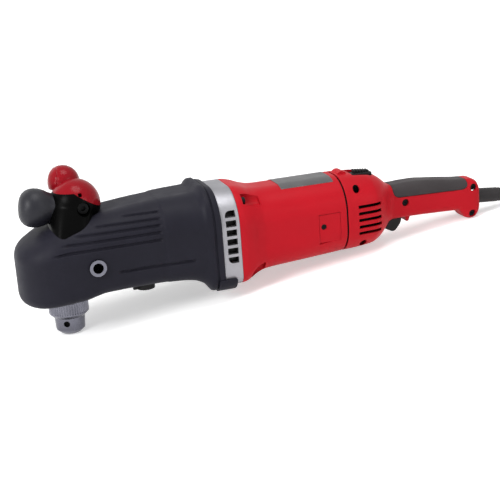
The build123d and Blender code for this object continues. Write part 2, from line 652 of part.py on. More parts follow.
cap_stations = [
    (handle_x, 45.5, 46.0, -46.5, 38.0, 36.0),
    (handle_x + 37, 43.8, 43.0, -43.8, 36.0, 34.0),
    (handle_x + 55, 32.5, 35.5, -35.5, 28.0, 28.0),
    (handle_x + 65, 21.5, 26.5, -25.5, 17.5, 17.5),
    (handle_x + 70, 17.5, 20.5, -19.3, 11.0, 11.0),
]
grip_stations = [
    (handle_x + 61, grip_half, 20.8, -19.5, 10.0, 9.0),
    (handle_x + 103, grip_half, 22.3, -20.0, 11.0, 9.0),
    (handle_end - 46, grip_half - 0.5, 20.3, -21.5, 10.0, 9.0),
    (handle_end - 28, grip_half - 0.5, 18.4, -24.0, 10.0, 9.0),
    (handle_end - 21, grip_half - 0.5, 17.4, -32.0, 10.0, 9.0),
    (handle_end - 14, grip_half - 0.5, 16.2, -35.0, 10.0, 9.0),
    (handle_end - 6, grip_half - 1.0, 13.8, -33.5, 9.0, 9.0),
    (handle_end, grip_half - 2.5, 9.0, -28.0, 9.0, 9.0),
]
heel_x, heel_z = grip_stations[5][0], grip_stations[5][3]
relief_dir = Vector(math.cos(math.radians(relief_droop)), 0, -math.sin(math.radians(relief_droop)))
relief_root = Vector(handle_end, 0, -10.2)
trigger_x = handle_x + 63.5
lever_x = handle_x + 27.5
shell_screws = [(handle_x + 15.7, 31.6, 26.0), (handle_x + 22.5, -36.0, 15.0), (handle_x + 87, 0.0, 12.5),
                (handle_end - 11.4, 5.6, 11.5), (handle_end - 13.4, -27.0, 11.5)]
shell_screw_r, shell_head_r, shell_boss_r = 2.0, 3.6, 5.4


def relief_at(distance):
    return Plane(relief_root + relief_dir * distance, x_dir=(0, 1, 0), z_dir=relief_dir)


def relief_rod(start, end, r0, r1):
    return loft([relief_at(start) * Circle(r0), relief_at(end) * Circle(r1)], ruled=True)


def grip_form(inset):
    ends = [(x, *sizes) for x, *sizes in grip_stations]
    ends[-1] = (ends[-1][0] - max(inset, 0), *ends[-1][1:])
    return form(ends, inset)


outer = form(cap_stations, 0) + grip_form(0)
inner = form(cap_stations, handle_wall) + grip_form(handle_wall)
shell = outer - inner
pocket = (lever_x - 8.0, lever_x + 29.5, 13.5)
shell += outer & block(pocket[0] - 3, pocket[1] + 3, -pocket[2] - 3, pocket[2] + 3, 33.5, 50)
shell -= block(pocket[0], pocket[1], -pocket[2], pocket[2], 37.2, 60)
shell -= rod_z(30, 40, 3.0 + 0.06, lever_x)
shell += rod_y(-9, 9, 7, handle_x + 9, 42.0) & block(0, 600, -20, 20, 43.4, 60)
for x, z, y_head in shell_screws:
    shell += outer & rod_y(-60, 60, shell_boss_r, x, z)
    shell -= rod_y(-y_head - 1, 9, shell_screw_r + seat_fit, x, z)
    shell -= rod_y(-70, -y_head, shell_head_r + 0.4, x, z)
shell += inner & block(trigger_x + 8, trigger_x + 17, -30, 30, -3.2, -1.2)
shell += inner & (rod_y(8, 30, 4.0, trigger_x + 4, -14.5) + rod_y(-30, -8, 4.0, trigger_x + 4, -14.5))
shell -= block(trigger_x - 7.5, trigger_x + 24.5, -trigger_half - 0.6, trigger_half + 0.6, -60, -13)
shell -= rod_y(-12.5, 12.5, 2.0 + seat_fit, trigger_x + 4, -14.5)
hook = side_plate([
    (trigger_x + 26, -17.5), (trigger_x + 34, -17.5), (trigger_x + 30.5, -26), (trigger_x + 28, -26),
], -9, 9)
shell += hook - grip_form(1.5)
slot_x0, slot_x1 = handle_x + 14.0, handle_x + 45.0
for k in range(5):
    z = 11.5 - 8.1 * k
    shell -= block(slot_x0, slot_x1, -70, 70, z - 2.0, z + 2.0) - block(0, 400, -30, 30, -70, 70)
pad_x0, pad_x1, pad_low = handle_x + 72.5, handle_end - 17.0, 5.0
pad_zone = block(pad_x0, pad_x1, -40, 40, pad_low, 60)
shell -= pad_zone - grip_form(pad_depth)
shell -= relief_rod(-9, 6, 6.3 + slip, 6.3 + slip) + relief_rod(0, 6, relief_r + slip, relief_r + slip)
switch_half = grip_half - handle_wall - 1.1
switch = block(handle_x + 94, handle_x + 146, -switch_half, switch_half, -13.5, 8.5)
nodes["handle_shell_near"] = shell & block(0, 600, -100, 0, -100, 100)
nodes["handle_shell_far"] = shell & block(0, 600, 0, 100, -100, 100)
grip_skin = grip_form(0) - grip_form(pad_depth - 0.05)
nodes["grip_pad"] = grip_skin & block(pad_x0 + slip, pad_x1 - slip, -40, 40, pad_low + slip, 60)
nodes["switch_body"] = switch

shell_screw_set = []
for x, z, y_head in shell_screws:
    screw = rod_y(-y_head, 8, shell_screw_r, x, z) + rod_y(-y_head - 2.6, -y_head, shell_head_r, x, z)
    shell_screw_set.append(screw - rod_y(-y_head - 3, -y_head - 1.2, 1.7, x, z))
nodes["handle_screws"] = shell_screw_set

trigger_outline = [
    (-6.0, -16.5), (-2.5, -13.2), (2, -10.5), (19, -10.5), (22.3, -13.5), (22.6, -23.5), (20, -29.5),
    (13.5, -36.6), (9.5, -37), (1, -32.5), (-4.5, -29.5), (-6.0, -27),
]
trigger = side_plate([(trigger_x + x, z) for x, z in trigger_outline], -trigger_half, trigger_half)
trigger -= rod_y(-20, 20, 2.0 + 0.04, trigger_x + 4, -14.5)
nodes["trigger"] = trigger
nodes["trigger_pin"] = rod_y(-12.4, 12.4, 2.0, trigger_x + 4, -14.5)
nodes["trigger_spring"] = rod_z(-10.4, -3.3, 3.2, trigger_x + 12.5) - rod_z(-11, -3, 2.4, trigger_x + 12.5)

lever_top = 46.0
lever = block(lever_x - 3.5, lever_x + 22.0, -lever_half, lever_half, 37.5, 42.0)
lever += block(lever_x - 0.5, lever_x + 19.5, -lever_half + 1, lever_half - 1, 42.0, lever_top)
nodes["reversing_lever"] = lever + rod_z(32.5, 38, 3.0, lever_x)

relief = relief_rod(0.05, relief_waist, relief_r, relief_waist_r)
relief += relief_rod(relief_waist, relief_length, relief_waist_r, relief_tip_r)
nodes["strain_relief"] = relief + relief_rod(-10, -handle_wall - 1.8, 6.9, 6.9) + relief_rod(-7, 1, 6.3, 6.3)


# Front handle and speed selector

grip_dir = Vector(-math.cos(math.radians(9)), 0, math.sin(math.radians(9)))
grip_root = Vector(ball_x - 6.6, 0, ball_z - 4.2)
ball_at = Vector(ball_x, 0, ball_z)
knob_at = ball_at + Vector(-7.8, 18.6, 22.8)
break_dir = Vector(0.579, -0.091, 0.811)
colour_break = Plane(ball_at + break_dir * 14.0, z_dir=break_dir)


def along(root, direction, distance):
    return Plane(root + direction * distance, x_dir=(0, 1, 0), z_dir=direction)


def swelling(root, direction, rings):
    """A round handle through (distance, radius) rings."""
    return loft([along(root, direction, d) * Circle(r) for d, r in rings], ruled=True)


skirt = loft([
    Pos(ball_x - 5, 0, 22) * Ellipse(skirt_long_r, skirt_wide_r),
    Pos(ball_x - 3, 0, ball_z + 5) * Circle(ball_r - 3),
], ruled=True)
bulb_rings = [(6, 17.0), (20, 17.0), (24, 17.6), (31, 20.6), (39, bulb_r), (47, 21.0), (53, 17.0), (57, 10.0)]
neck_rings = [(6, 17.5), (18, 15.5), (29, 15.0)]
knob_rings = [(-17.6, 0.42), (-13.2, 0.73), (-6.6, 0.94), (0, 1.0), (6.6, 0.94), (13.2, 0.73), (17.6, 0.42)]
body = Pos(ball_x, 0, ball_z) * Sphere(ball_r) + skirt + swelling(grip_root, grip_dir, bulb_rings)
body -= head_form(-air)
body -= rod_z(20, post_top + air, post_r + slip, post_x)
knob = swelling(ball_at, (knob_at - ball_at).normalized(), neck_rings)
knob += swelling(knob_at, grip_dir, [(d, share * knob_r) for d, share in knob_rings])
above = colour_break * Box(200, 200, 100, align=(Align.CENTER, Align.CENTER, Align.MIN))
above += block(-400, ball_x + 60, -100, 100, ball_z + 17, 200)
bulb_zone = block(-400, ball_x - 21, -60, 60, 0, 200)
core = (body & above) - bulb_zone
core = core + ((knob & above) - body - rod_z(20, post_top + air, post_r + slip, post_x))
bolt_pockets = rod_y(-80, -bolt_seat, bolt_head_r + 0.7, post_x, bolt_z)
bolt_pockets += rod_y(bolt_seat, 80, bolt_head_r + 0.7, post_x, bolt_z)
bolt_pockets += rod_y(-bolt_seat - 1, bolt_seat + 1, bolt_r + 0.1, post_x, bolt_z)
nodes["front_handle_core"] = core - bolt_pockets
nodes["front_handle_grip"] = body - core - bolt_pockets
bolt = rod_y(-bolt_seat, bolt_seat + 8, bolt_r, post_x, bolt_z)
bolt += rod_y(-bolt_seat - 7, -bolt_seat, bolt_head_r, post_x, bolt_z)
bolt -= rod_y(-bolt_seat - 8, -bolt_seat - 3, 3.0, post_x, bolt_z)
nut_r = bolt_head_r + 0.3
nut_corners = [math.radians(60 * k) for k in range(6)]
nut = side_plate([
    (post_x + nut_r * math.cos(a), bolt_z + nut_r * math.sin(a)) for a in nut_corners
], bolt_seat, bolt_seat + 6.5)
nut -= rod_y(bolt_seat - 1, bolt_seat + 8, bolt_r + seat_fit, post_x, bolt_z)
nodes["front_handle_bolts"] = [bolt, nut]

knob_low = -57.0
selector = rod_z(knob_low, -41.6, 11.0, selector_x) - rod_z(-44.0, -41.0, 9.5, selector_x)
selector += rod_z(-46, selector_floor + 9, selector_stem_r, selector_x)
nodes["speed_selector"] = selector + block(selector_x - 15, selector_x + 9, -3, 3, knob_low, -48)


# Stand the drill on its chuck nose and its heel

pitch = math.degrees(math.atan2(heel_z - chuck_nose, heel_x - spindle_x - nose_flat_r))
leaned = Rot(0, pitch, 0)
flat = {name: shape if isinstance(shape, list) else [shape] for name, shape in nodes.items()}
outside = ["rubber_boot", "chuck_body", "front_handle_core", "front_handle_grip", "handle_shell_near",
           "handle_shell_far", "strain_relief", "collar", "motor_housing", "side_handle_bushings"]
boxes = [(leaned * piece).bounding_box() for name in outside for piece in flat[name]]
low = [min(getattr(b.min, axis) for b in boxes) for axis in "XYZ"]
high = [max(getattr(b.max, axis) for b in boxes) for axis in "XYZ"]
shift = (-(low[0] + high[0]) / 2, -(low[1] + high[1]) / 2, -low[2])
stand = Pos(*shift) * leaned
flat = {name: [stand * piece for piece in pieces] for name, pieces in flat.items()}


def standing(x, y, z):
    return (stand * Pos(x, y, z)).position


# Cord: a lead along the floor, a tied coil and a moulded plug

relief_end = relief_at(relief_length)
cord_exit = standing(*relief_end.origin)
cord_r = cord_d / 2
coil_centre = Vector(cord_exit.X + 122.0, -30.0, 0)
coil_low = cord_r + tie_thick + 0.2
outer_r = coil_middle_r + coil_pitch * layer_turns / 2
inner_r = coil_middle_r - coil_pitch * layer_turns / 2
climb_turns = 0.3


def coil_point(turns):
    """A point of the coil: in on the lower layer, then out on the upper one, clockwise from above."""
    angle = math.pi / 2 - 2 * math.pi * turns
    r = inner_r + coil_pitch * abs(turns - layer_turns)
    climb = min(max((turns - layer_turns) / climb_turns + 0.5, 0.0), 1.0)
    z = coil_low + layer_rise * climb * climb * (3 - 2 * climb)
    return coil_centre + Vector(r * math.cos(angle), r * math.sin(angle), z)


def coil_heading(turns):
    if turns < 1e-6:
        return Vector(1, 0, 0)
    if turns > 2 * layer_turns - 1e-6:
        return Vector(-1, 0, 0)
    return (coil_point(turns + 1e-4) - coil_point(turns - 1e-4)).normalized()


def biarc(start, end, leave, arrive):
    """Two arcs from start to end that share a tangent where they meet."""
    run = end - start
    both = leave + arrive
    a, b = 2 * (1 - leave.dot(arrive)), 2 * run.dot(both)
    reach = (-b + math.sqrt(b * b + 4 * a * run.dot(run))) / (2 * a)
    joint = ((start + leave * reach) + (end - arrive * reach)) * 0.5
    first = TangentArc(start, joint, tangent=leave)
    return [first, TangentArc(joint, end, tangent=first % 1)]


def tube(path, r):
    return sweep(Plane(path @ 0, z_dir=path % 0) * Circle(r), path=path)


def cord_run(points):
    """A cord through hand-chosen points, each corner rounded as widely as its shorter run allows."""
    points = [Vector(*p) for p in points]
    radii = []
    for before, here, after in zip(points, points[1:], points[2:]):
        half_turn = math.radians((here - before).get_angle(after - here)) / 2
        radii.append(0.45 * min((here - before).length, (after - here).length) / math.tan(half_turn))
    print("bend radii", [round(r, 1) for r in radii])
    return FilletPolyline(*points, radius=radii)


steps = round(2 * layer_turns * 6)
stops = [2 * layer_turns * k / steps for k in range(steps + 1)]
coil_edges = []
for a, b in zip(stops, stops[1:]):
    coil_edges += biarc(coil_point(a), coil_point(b), coil_heading(a), coil_heading(b))
coil_path = Wire(coil_edges)
coil_start, coil_end = coil_point(0), coil_point(stops[-1])
heading = (leaned * Pos(*relief_dir)).position
touch_down = cord_exit + heading * ((cord_exit.Z - cord_r - 0.6) / -heading.Z)
lead_path = cord_run([cord_exit, touch_down, (coil_start.X - 34, coil_start.Y, coil_start.Z), coil_start])
plug_rear = (coil_end.X - 60, coil_end.Y - 2.4, 9.4)
tail_path = cord_run([
    coil_end, (coil_end.X - 20, coil_end.Y, coil_end.Z),
    (plug_rear[0] + 18, plug_rear[1], plug_rear[2]), plug_rear,
])
flat["cord_lead"] = [tube(lead_path, cord_r)]
flat["cord_coil"] = [tube(coil_path, cord_r)]
flat["cord_tail"] = [tube(tail_path, cord_r)]
coil_gap = min(
    (coil_point(a) - coil_point(b)).length - cord_d
    for a in [k / 48 for k in range(round(2 * layer_turns * 48))]
    for b in [a + 0.5 + k / 48 for k in range(round((2 * layer_turns - a - 0.5) * 48))]
)
cord_length = lead_path.length + coil_path.length + tail_path.length

strands = int(layer_turns)
tie_wide = coil_pitch * (strands - 1) + cord_d + 1.2
tie_tall = layer_rise + cord_d + 0.2
tie_shift = coil_pitch * (layer_turns / 2 - 0.75 - (strands - 1) / 2)
tie_x = coil_centre.X - (inner_r + outer_r) / 2 - tie_shift
tie_z = coil_low + layer_rise / 2
tie_box = Box(tie_wide + 2 * tie_thick, 8, tie_tall + 2 * tie_thick)
tie_box = fillet(tie_box.edges().filter_by(Axis.Y), 3.0)
flat["cord_tie"] = [Pos(tie_x, coil_centre.Y, tie_z) * (tie_box - Box(tie_wide, 9, tie_tall))]

plug_sizes = [
    (0.0, 12.5, 12.5, 5.0), (10.0, 14.0, 14.0, 5.0), (20.0, 25.0, 17.6, 5.0), (42.0, 27.0, 18.4, 5.0),
]
plug_faces = []
for distance, wide, tall, corner in plug_sizes:
    place = Plane((plug_rear[0] - distance, plug_rear[1], plug_rear[2]), x_dir=(0, 1, 0), z_dir=(-1, 0, 0))
    plug_faces.append(place * RectangleRounded(wide, tall, corner))
flat["plug_body"] = [loft(plug_faces, ruled=True)]
plug_face = plug_rear[0] - plug_sizes[-1][0] - 0.02
flat["plug_blades"] = [
    block(plug_face - 17.5, plug_face, plug_rear[1] + y - 0.75, plug_rear[1] + y + 0.75,
          plug_rear[2] - 3.2, plug_rear[2] + 3.2)
    for y in (-6.35, 6.35)
]

print("pitch", round(pitch, 4), "shift", [round(v, 4) for v in shift])
print("cord exit", cord_exit, "heading", heading)
print("cord length", round(cord_length, 1), "least gap between turns", round(coil_gap, 2))
print("coil centre", coil_centre, "starts", coil_start, "ends", coil_end, "plug", plug_rear)
print("box", [round(v, 2) for v in low + high])

os.makedirs("parts", exist_ok=True)
for name, pieces in flat.items():
    solids = [solid for piece in pieces for solid in piece.solids()]
    whole = solids[0] if len(solids) == 1 else Compound(children=solids)
    export_step(whole, f"parts/{name}.step")
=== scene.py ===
import json
from math import asin, atan2, copysign, cos, hypot, pi, radians, sin, sqrt, tau
import bmesh
import bpy
from mathutils import Matrix, Vector


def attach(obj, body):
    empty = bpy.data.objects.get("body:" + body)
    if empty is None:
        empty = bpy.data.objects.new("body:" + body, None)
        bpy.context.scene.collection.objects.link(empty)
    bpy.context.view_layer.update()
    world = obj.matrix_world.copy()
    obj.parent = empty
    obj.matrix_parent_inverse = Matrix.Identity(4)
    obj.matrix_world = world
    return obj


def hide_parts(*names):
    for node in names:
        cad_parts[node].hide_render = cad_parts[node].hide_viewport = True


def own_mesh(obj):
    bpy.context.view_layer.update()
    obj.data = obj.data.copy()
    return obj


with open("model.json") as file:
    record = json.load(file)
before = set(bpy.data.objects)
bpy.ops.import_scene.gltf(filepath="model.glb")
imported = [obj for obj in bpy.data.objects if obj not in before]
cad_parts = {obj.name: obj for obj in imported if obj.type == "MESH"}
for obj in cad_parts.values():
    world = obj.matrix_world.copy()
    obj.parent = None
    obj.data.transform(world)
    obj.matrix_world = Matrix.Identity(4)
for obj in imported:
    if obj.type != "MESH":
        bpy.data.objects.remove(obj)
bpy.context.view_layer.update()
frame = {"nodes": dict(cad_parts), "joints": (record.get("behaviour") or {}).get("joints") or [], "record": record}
scene = bpy.context.scene
ops = bmesh.ops
nodes = frame["nodes"]
motor = next(joint for joint in frame["joints"] if joint["name"] == "armature_spin")

# the drill leans on its chuck and heel, so pieces are modelled in the tool's own frame in mm and leaned here
toolLean = Matrix.Rotation(atan2(-motor["axis"][2], motor["axis"][0]), 4, "Y")
floorPlace = Matrix.Scale(0.001, 4)  # pieces that lie on the floor are not leaned
toolPlace = Matrix.Translation(motor["pos_m"]) @ toolLean @ floorPlace
spindleX = -195.6
beyond = 70.0  # where cutters end that pass right through
quarter = pi / 2
print("frame loaded:", len(nodes), "nodes")


def adjust(thing, settings):
    for key, value in settings.items():
        setattr(thing, key, value)
    return thing


def addObject(name, data):
    made = bpy.data.objects.new(name, data)
    scene.collection.objects.link(made)
    return made


def bench(bm, name="bench"):
    mesh = bpy.data.meshes.new(name)
    bm.to_mesh(mesh)
    bm.free()
    return addObject(name, mesh)


def standing(place, direction, front="Z"):
    return Matrix.Translation(place) @ Vector(direction).to_track_quat(front, "Y").to_matrix().to_4x4()


# shader helpers

def feed(tree, sockets, inputs):
    # an input is a plain value, or another node's output to link
    for key, value in inputs.items():
        if isinstance(value, bpy.types.NodeSocket):
            tree.links.new(value, sockets[key])
        else:
            sockets[key].default_value = value


def addNode(tree, kind, inputs=None, **settings):
    made = adjust(tree.nodes.new("ShaderNode" + kind), settings)
    feed(tree, made.inputs, inputs or {})
    return made.outputs


def calculate(tree, operation, *values, **settings):
    return addNode(tree, "Math", dict(enumerate(values)), operation=operation, **settings)[0]


def spread(tree, value, source, target=(0.0, 1.0)):
    ends = zip(("From Min", "From Max", "To Min", "To Max"), (*source, *target))
    return addNode(tree, "MapRange", {"Value": value, **dict(ends)})["Result"]


def newPaint(name):
    paint = bpy.data.materials.new(name)
    paint.use_nodes = True
    return paint, paint.node_tree, paint.node_tree.nodes["Principled BSDF"].inputs


# camera, floor and light

photoView = {
    "azimuth": -16, "elevation": 16, "roll": 4.5,  # degrees, in the tool's frame
    "distance": 1.4, "sensor": 36, "focal": 1190,  # metres, mm, and pixels of the frame
    "frame": 500, "originAt": (226.7, 227),  # where the collar's rear centre falls in the frame
}


def setCamera(view):
    azimuth, elevation, roll = (radians(view[key]) for key in ("azimuth", "elevation", "roll"))
    pixels, (x, y) = view["frame"], view["originAt"]
    lens = adjust(bpy.data.cameras.new("photoCamera"), {
        "sensor_width": view["sensor"], "lens": view["sensor"] * view["focal"] / pixels, "clip_start": 0.05,
        "shift_x": 0.5 - x / pixels, "shift_y": y / pixels - 0.5})
    turn = (Matrix.Rotation(azimuth, 4, "Z") @ Matrix.Rotation(quarter - elevation, 4, "X")
            @ Matrix.Rotation(-roll, 4, "Z"))
    scene.camera = addObject("photoCamera", lens)
    scene.camera.matrix_world = (Matrix.Translation(toolPlace.translation) @ toolLean @ turn
            @ Matrix.Translation((0, 0, view["distance"])))


studio = {
    "sky": 0.32,
    "lamps": [  # name, place, size, watts
        ("keySoftbox", (-1.9, -1, 1.6), 1, 38), ("topSoftbox", (0.35, -0.35, 2.2), 1.3, 24),
        ("fillSoftbox", (1.4, -1.9, 0.9), 1, 7), ("backSoftbox", (-0.8, 1.7, 1.3), 1.2, 3),
        ("sideSoftbox", (-2.2, -0.6, 0.5), 0.8, 7),
    ],
    "aim": (0, 0, 0.09), "white": (1, 1, 1, 1), "floorColour": (0.9, 0.9, 0.9, 1),
    "floorGlow": (0.45, 1),  # near the drill, where its shadow falls, and far from it
    "floorReach": (0.75, 1.7), "floorHalf": 6,
}


def seenDirectly(tree):
    path = addNode(tree, "LightPath")
    seen = path["Is Camera Ray"]
    for name in ("Is Glossy Ray", "Is Transmission Ray"):
        seen = calculate(tree, "MAXIMUM", seen, path[name])
    return seen


def setStudio(settings):
    world = bpy.data.worlds.new("studioWorld")
    world.use_nodes = True
    scene.world = world
    tree = world.node_tree
    level = spread(tree, seenDirectly(tree), (0.0, 1.0), (settings["sky"], 1.0))
    feed(tree, tree.nodes["Background"].inputs, {"Color": settings["white"], "Strength": level})
    for name, place, size, watts in settings["lamps"]:
        lamp = adjust(bpy.data.lights.new(name, "AREA"), {"shape": "DISK", "size": size, "energy": watts})
        addObject(name, lamp).matrix_world = standing(place, Vector(settings["aim"]) - Vector(place), "-Z")
    paint, tree, coat = newPaint("studioFloor")
    away = addNode(tree, "VectorMath", {0: addNode(tree, "TexCoord")["Object"]}, operation="LENGTH")["Value"]
    rise = spread(tree, away, settings["floorReach"], settings["floorGlow"])
    feed(tree, coat, {"Base Color": settings["floorColour"], "Roughness": 0.9, "Specular IOR Level": 0.1,
            "Emission Color": settings["white"],
            "Emission Strength": calculate(tree, "MULTIPLY", seenDirectly(tree), rise)})
    bm = bmesh.new()
    ops.create_grid(bm, x_segments=4, y_segments=4, size=settings["floorHalf"])
    floor = bench(bm, "studioFloor")
    floor.data.materials.append(paint)


scene.view_settings.view_transform = "Standard"
setCamera(photoView)
setStudio(studio)
print("camera and studio set")


# finishes

lookInputs = {"Colour": "Color", "Worn Colour": "Color", **dict.fromkeys((
    "Drift", "Drift Scale", "Wear", "Edge Radius", "Gloss Low", "Gloss High", "Grain Scale"), "Float")}


def newGroup(name, inputs, outputs):
    group = bpy.data.node_groups.new(name, "ShaderNodeTree")
    for way, sockets in (("INPUT", {"Vector": "Vector", **inputs}), ("OUTPUT", outputs)):
        for label, kind in sockets.items():
            group.interface.new_socket(label, in_out=way, socket_type="NodeSocket" + kind)
    return group, group.nodes.new("NodeGroupInput").outputs, group.nodes.new("NodeGroupOutput").inputs


def makeSurfaceGroup():
    # colour drift, rubbed edges, uneven gloss and moulded grain in one group
    group, given, result = newGroup("workedSurface", lookInputs,
            {"Colour": "Color", "Roughness": "Float", "Height": "Float"})

    def clouds(scale, detail, rough, wander=0):
        return addNode(group, "TexNoise", {"Vector": given["Vector"], "Scale": scale, "Detail": detail,
                "Roughness": rough, "Distortion": wander})["Fac"]

    swing = spread(group, clouds(given["Drift Scale"], 4, 0.6), (0.3, 0.7), (-1, 1))
    drift = calculate(group, "MULTIPLY_ADD", swing, given["Drift"], 1)
    shade = addNode(group, "VectorMath", {0: given["Colour"], "Scale": drift}, operation="SCALE")["Vector"]
    normals = {0: addNode(group, "Bevel", {"Radius": given["Edge Radius"]}, samples=4)["Normal"],
            1: addNode(group, "NewGeometry")["Normal"]}
    edge = spread(group, addNode(group, "VectorMath", normals, operation="DOT_PRODUCT")["Value"], (0.99, 0.86))
    rub = calculate(group, "MULTIPLY", edge, spread(group, clouds(120, 5, 0.65), (0.4, 0.7)))
    rubbed = calculate(group, "MULTIPLY", rub, given["Wear"], use_clamp=True)
    blend = addNode(group, "Mix", {"Factor": rubbed, "A": shade, "B": given["Worn Colour"]}, data_type="RGBA")
    gloss = spread(group, clouds(55, 6, 0.6, 0.4), (0.3, 0.7), (given["Gloss Low"], given["Gloss High"]))
    grain = addNode(group, "TexVoronoi", {"Vector": given["Vector"], "Scale": given["Grain Scale"]},
            feature="SMOOTH_F1")
    feed(group, result, {"Colour": blend["Result"], "Roughness": gloss, "Height": grain["Distance"]})
    return group


def makeBrushedGroup():
    # fine lathe or linishing marks running one way
    group, given, result = newGroup("turnedMarks", {"Scale": "Float", "Stretch": "Vector"}, {"Marks": "Float"})
    squeeze = addNode(group, "VectorMath", {0: given["Vector"], 1: given["Stretch"]}, operation="MULTIPLY")
    marks = addNode(group, "TexNoise", {"Vector": squeeze["Vector"], "Scale": given["Scale"], "Detail": 6,
            "Roughness": 0.7})
    feed(group, result, {"Marks": marks["Fac"]})
    return group


surfaceGroup = makeSurfaceGroup()
brushedGroup = makeBrushedGroup()


def surfaceFinish(name, surface, coating, grain):
    paint, tree, coat = newPaint(name)
    where = addNode(tree, "TexCoord")["Object"]
    look = {key: (*value, 1) if isinstance(value, tuple) else value for key, value in zip(lookInputs, surface)}
    worked = addNode(tree, "Group", {"Vector": where, **look}, node_tree=surfaceGroup)
    bump = addNode(tree, "Bump", {"Height": worked["Height"], "Strength": grain[0], "Distance": grain[1]})["Normal"]
    feed(tree, coat, {"Metallic": coating[0], "Specular IOR Level": coating[1], "Base Color": worked["Colour"],
            "Roughness": worked["Roughness"], "Normal": bump})
    lay = addNode(tree, "Mapping", {"Vector": where, "Rotation": (0, -toolLean.to_euler().y, 0)})["Vector"]
    return paint, (tree, lay, worked, bump, coat)


def addMarks(tree, lay, worked, normal, coat, scale, stretch, gloss, depth):
    settings = {"Vector": lay, "Scale": scale, "Stretch": stretch}
    marks = addNode(tree, "Group", settings, node_tree=brushedGroup)["Marks"]
    fine = addNode(tree, "Bump", {"Height": marks, "Normal": normal, "Strength": depth, "Distance": 0.00005})
    feed(tree, coat, {"Roughness": calculate(tree, "MULTIPLY_ADD", marks, gloss, worked["Roughness"]),
            "Normal": fine["Normal"]})


def addBands(tree, lay, worked, normal, coat, scale, direction, depth, wander):
    # stacked laminations and wound wire are bands along one direction
    bands = addNode(tree, "TexWave", {"Vector": lay, "Scale": scale, "Distortion": wander, "Detail": 2},
            bands_direction=direction)
    ridge = addNode(tree, "Bump", {"Height": bands["Fac"], "Normal": normal, "Strength": 0.7, "Distance": depth})
    shade = addNode(tree, "Mix", {"Factor": 0.5, "A": worked["Colour"], "B": bands["Color"]}, data_type="RGBA",
            blend_type="MULTIPLY")
    feed(tree, coat, {"Normal": ridge["Normal"], "Base Color": shade["Result"]})


looks = {  # lookInputs in order, then metallic and specular, then strength and depth of the grain
    "bootRubber": [((0.0135, 0.013, 0.02), (0.035, 0.035, 0.042), 0.12, 18, 0.25, 0.001, 0.46, 0.56, 900),
            (0, 0.1), (0.25, 0.0002)],
    "mouldedRed": [((0.5, 0.009, 0.018), (0.62, 0.05, 0.06), 0.05, 14, 0.35, 0.0007, 0.36, 0.46, 1100),
            (0, 0.08), (0.16, 0.0001)],
    "polishedRed": [((0.265, 0.005, 0.011), (0.6, 0.05, 0.06), 0.05, 20, 0.2, 0.0007, 0.16, 0.24, 400),
            (0, 0.1), (0.05, 0.00005)],
    # the saddle's black, darkened nearly to pure black: its own black plus painted shade under the handle
    "glossBlackAndShade": [((0.0013, 0.0013, 0.0013), (0.008, 0.008, 0.008), 0.1, 20, 0.2, 0.0007, 0.26, 0.36, 500),
            (0, 0.035), (0.06, 0.00005)],
    "bulbRubber": [((0.0105, 0.0105, 0.0155), (0.03, 0.03, 0.036), 0.12, 25, 0.2, 0.0007, 0.4, 0.5, 900),
            (0, 0.28), (0.12, 0.0001)],
    "shadowBlack": [((0.002, 0.002, 0.002), (0.004, 0.004, 0.004), 0.1, 60, 0.1, 0.0004, 0.6, 0.75, 1500),
            (0, 0.05), (0.1, 0.00005)],
    "mouldedBlack": [((0.014, 0.0135, 0.014), (0.06, 0.06, 0.06), 0.1, 30, 0.35, 0.0006, 0.38, 0.5, 1400),
            (0, 0.16), (0.2, 0.0001)],
    "gripRubber": [((0.042, 0.036, 0.0375), (0.08, 0.075, 0.075), 0.1, 25, 0.2, 0.0006, 0.5, 0.62, 1300),
            (0, 0.2), (0.4, 0.0002)],
    "cordRubber": [((0.027, 0.0245, 0.0255), (0.05, 0.05, 0.05), 0.12, 40, 0.2, 0.0005, 0.46, 0.6, 1600),
            (0, 0.2), (0.25, 0.00012)],
    "carbonBlock": [((0.03, 0.03, 0.032), (0.09, 0.09, 0.1), 0.2, 200, 0.4, 0.0004, 0.4, 0.7, 2500),
            (0, 0.5), (0.4, 0.0001)],
    "plateEnamel": [((0.095, 0.095, 0.098), (0.6, 0.6, 0.6), 0.08, 60, 0.6, 0.0005, 0.3, 0.45, 1800),
            (0, 0.2), (0.1, 0.00005)],
    "brightSteel": [((0.15, 0.15, 0.18), (0.46, 0.46, 0.51), 0.12, 60, 0.7, 0.0005, 0.14, 0.24, 700),
            (1, 0.5), (0.04, 0.00005)],
    "castAluminium": [((0.3, 0.297, 0.318), (0.5, 0.5, 0.51), 0.08, 40, 0.6, 0.0008, 0.34, 0.46, 900),
            (0.85, 0.5), (0.2, 0.00012)],
    "blackenedSteel": [((0.006, 0.006, 0.0065), (0.05, 0.05, 0.053), 0.15, 80, 0.6, 0.0004, 0.3, 0.45, 1200),
            (0.35, 0.12), (0.1, 0.00005)],
    "brass": [((0.55, 0.38, 0.13), (0.75, 0.58, 0.28), 0.1, 70, 0.6, 0.0004, 0.2, 0.34, 900),
            (1, 0.5), (0.06, 0.00005)],
    "laminations": [((0.24, 0.24, 0.25), (0.45, 0.45, 0.46), 0.12, 50, 0.4, 0.0005, 0.35, 0.5, 900),
            (0.9, 0.5), (0.2, 0.0001)],
    "enamelledCopper": [((0.44, 0.16, 0.065), (0.7, 0.35, 0.18), 0.14, 60, 0.3, 0.0005, 0.25, 0.4, 600),
            (0.9, 0.5), (0.2, 0.0001)],
}
markedLooks = {  # scale, stretch, gloss and depth of the marks
    "brightSteel": (1500, (0.03, 0.03, 1), 0.14, 0.12), "castAluminium": (700, (0.2, 0.2, 0.2), 0.1, 0.06),
    "blackenedSteel": (1200, (0.02, 0.02, 1), 0.12, 0.1), "brass": (1400, (0.02, 0.02, 1), 0.14, 0.1),
}
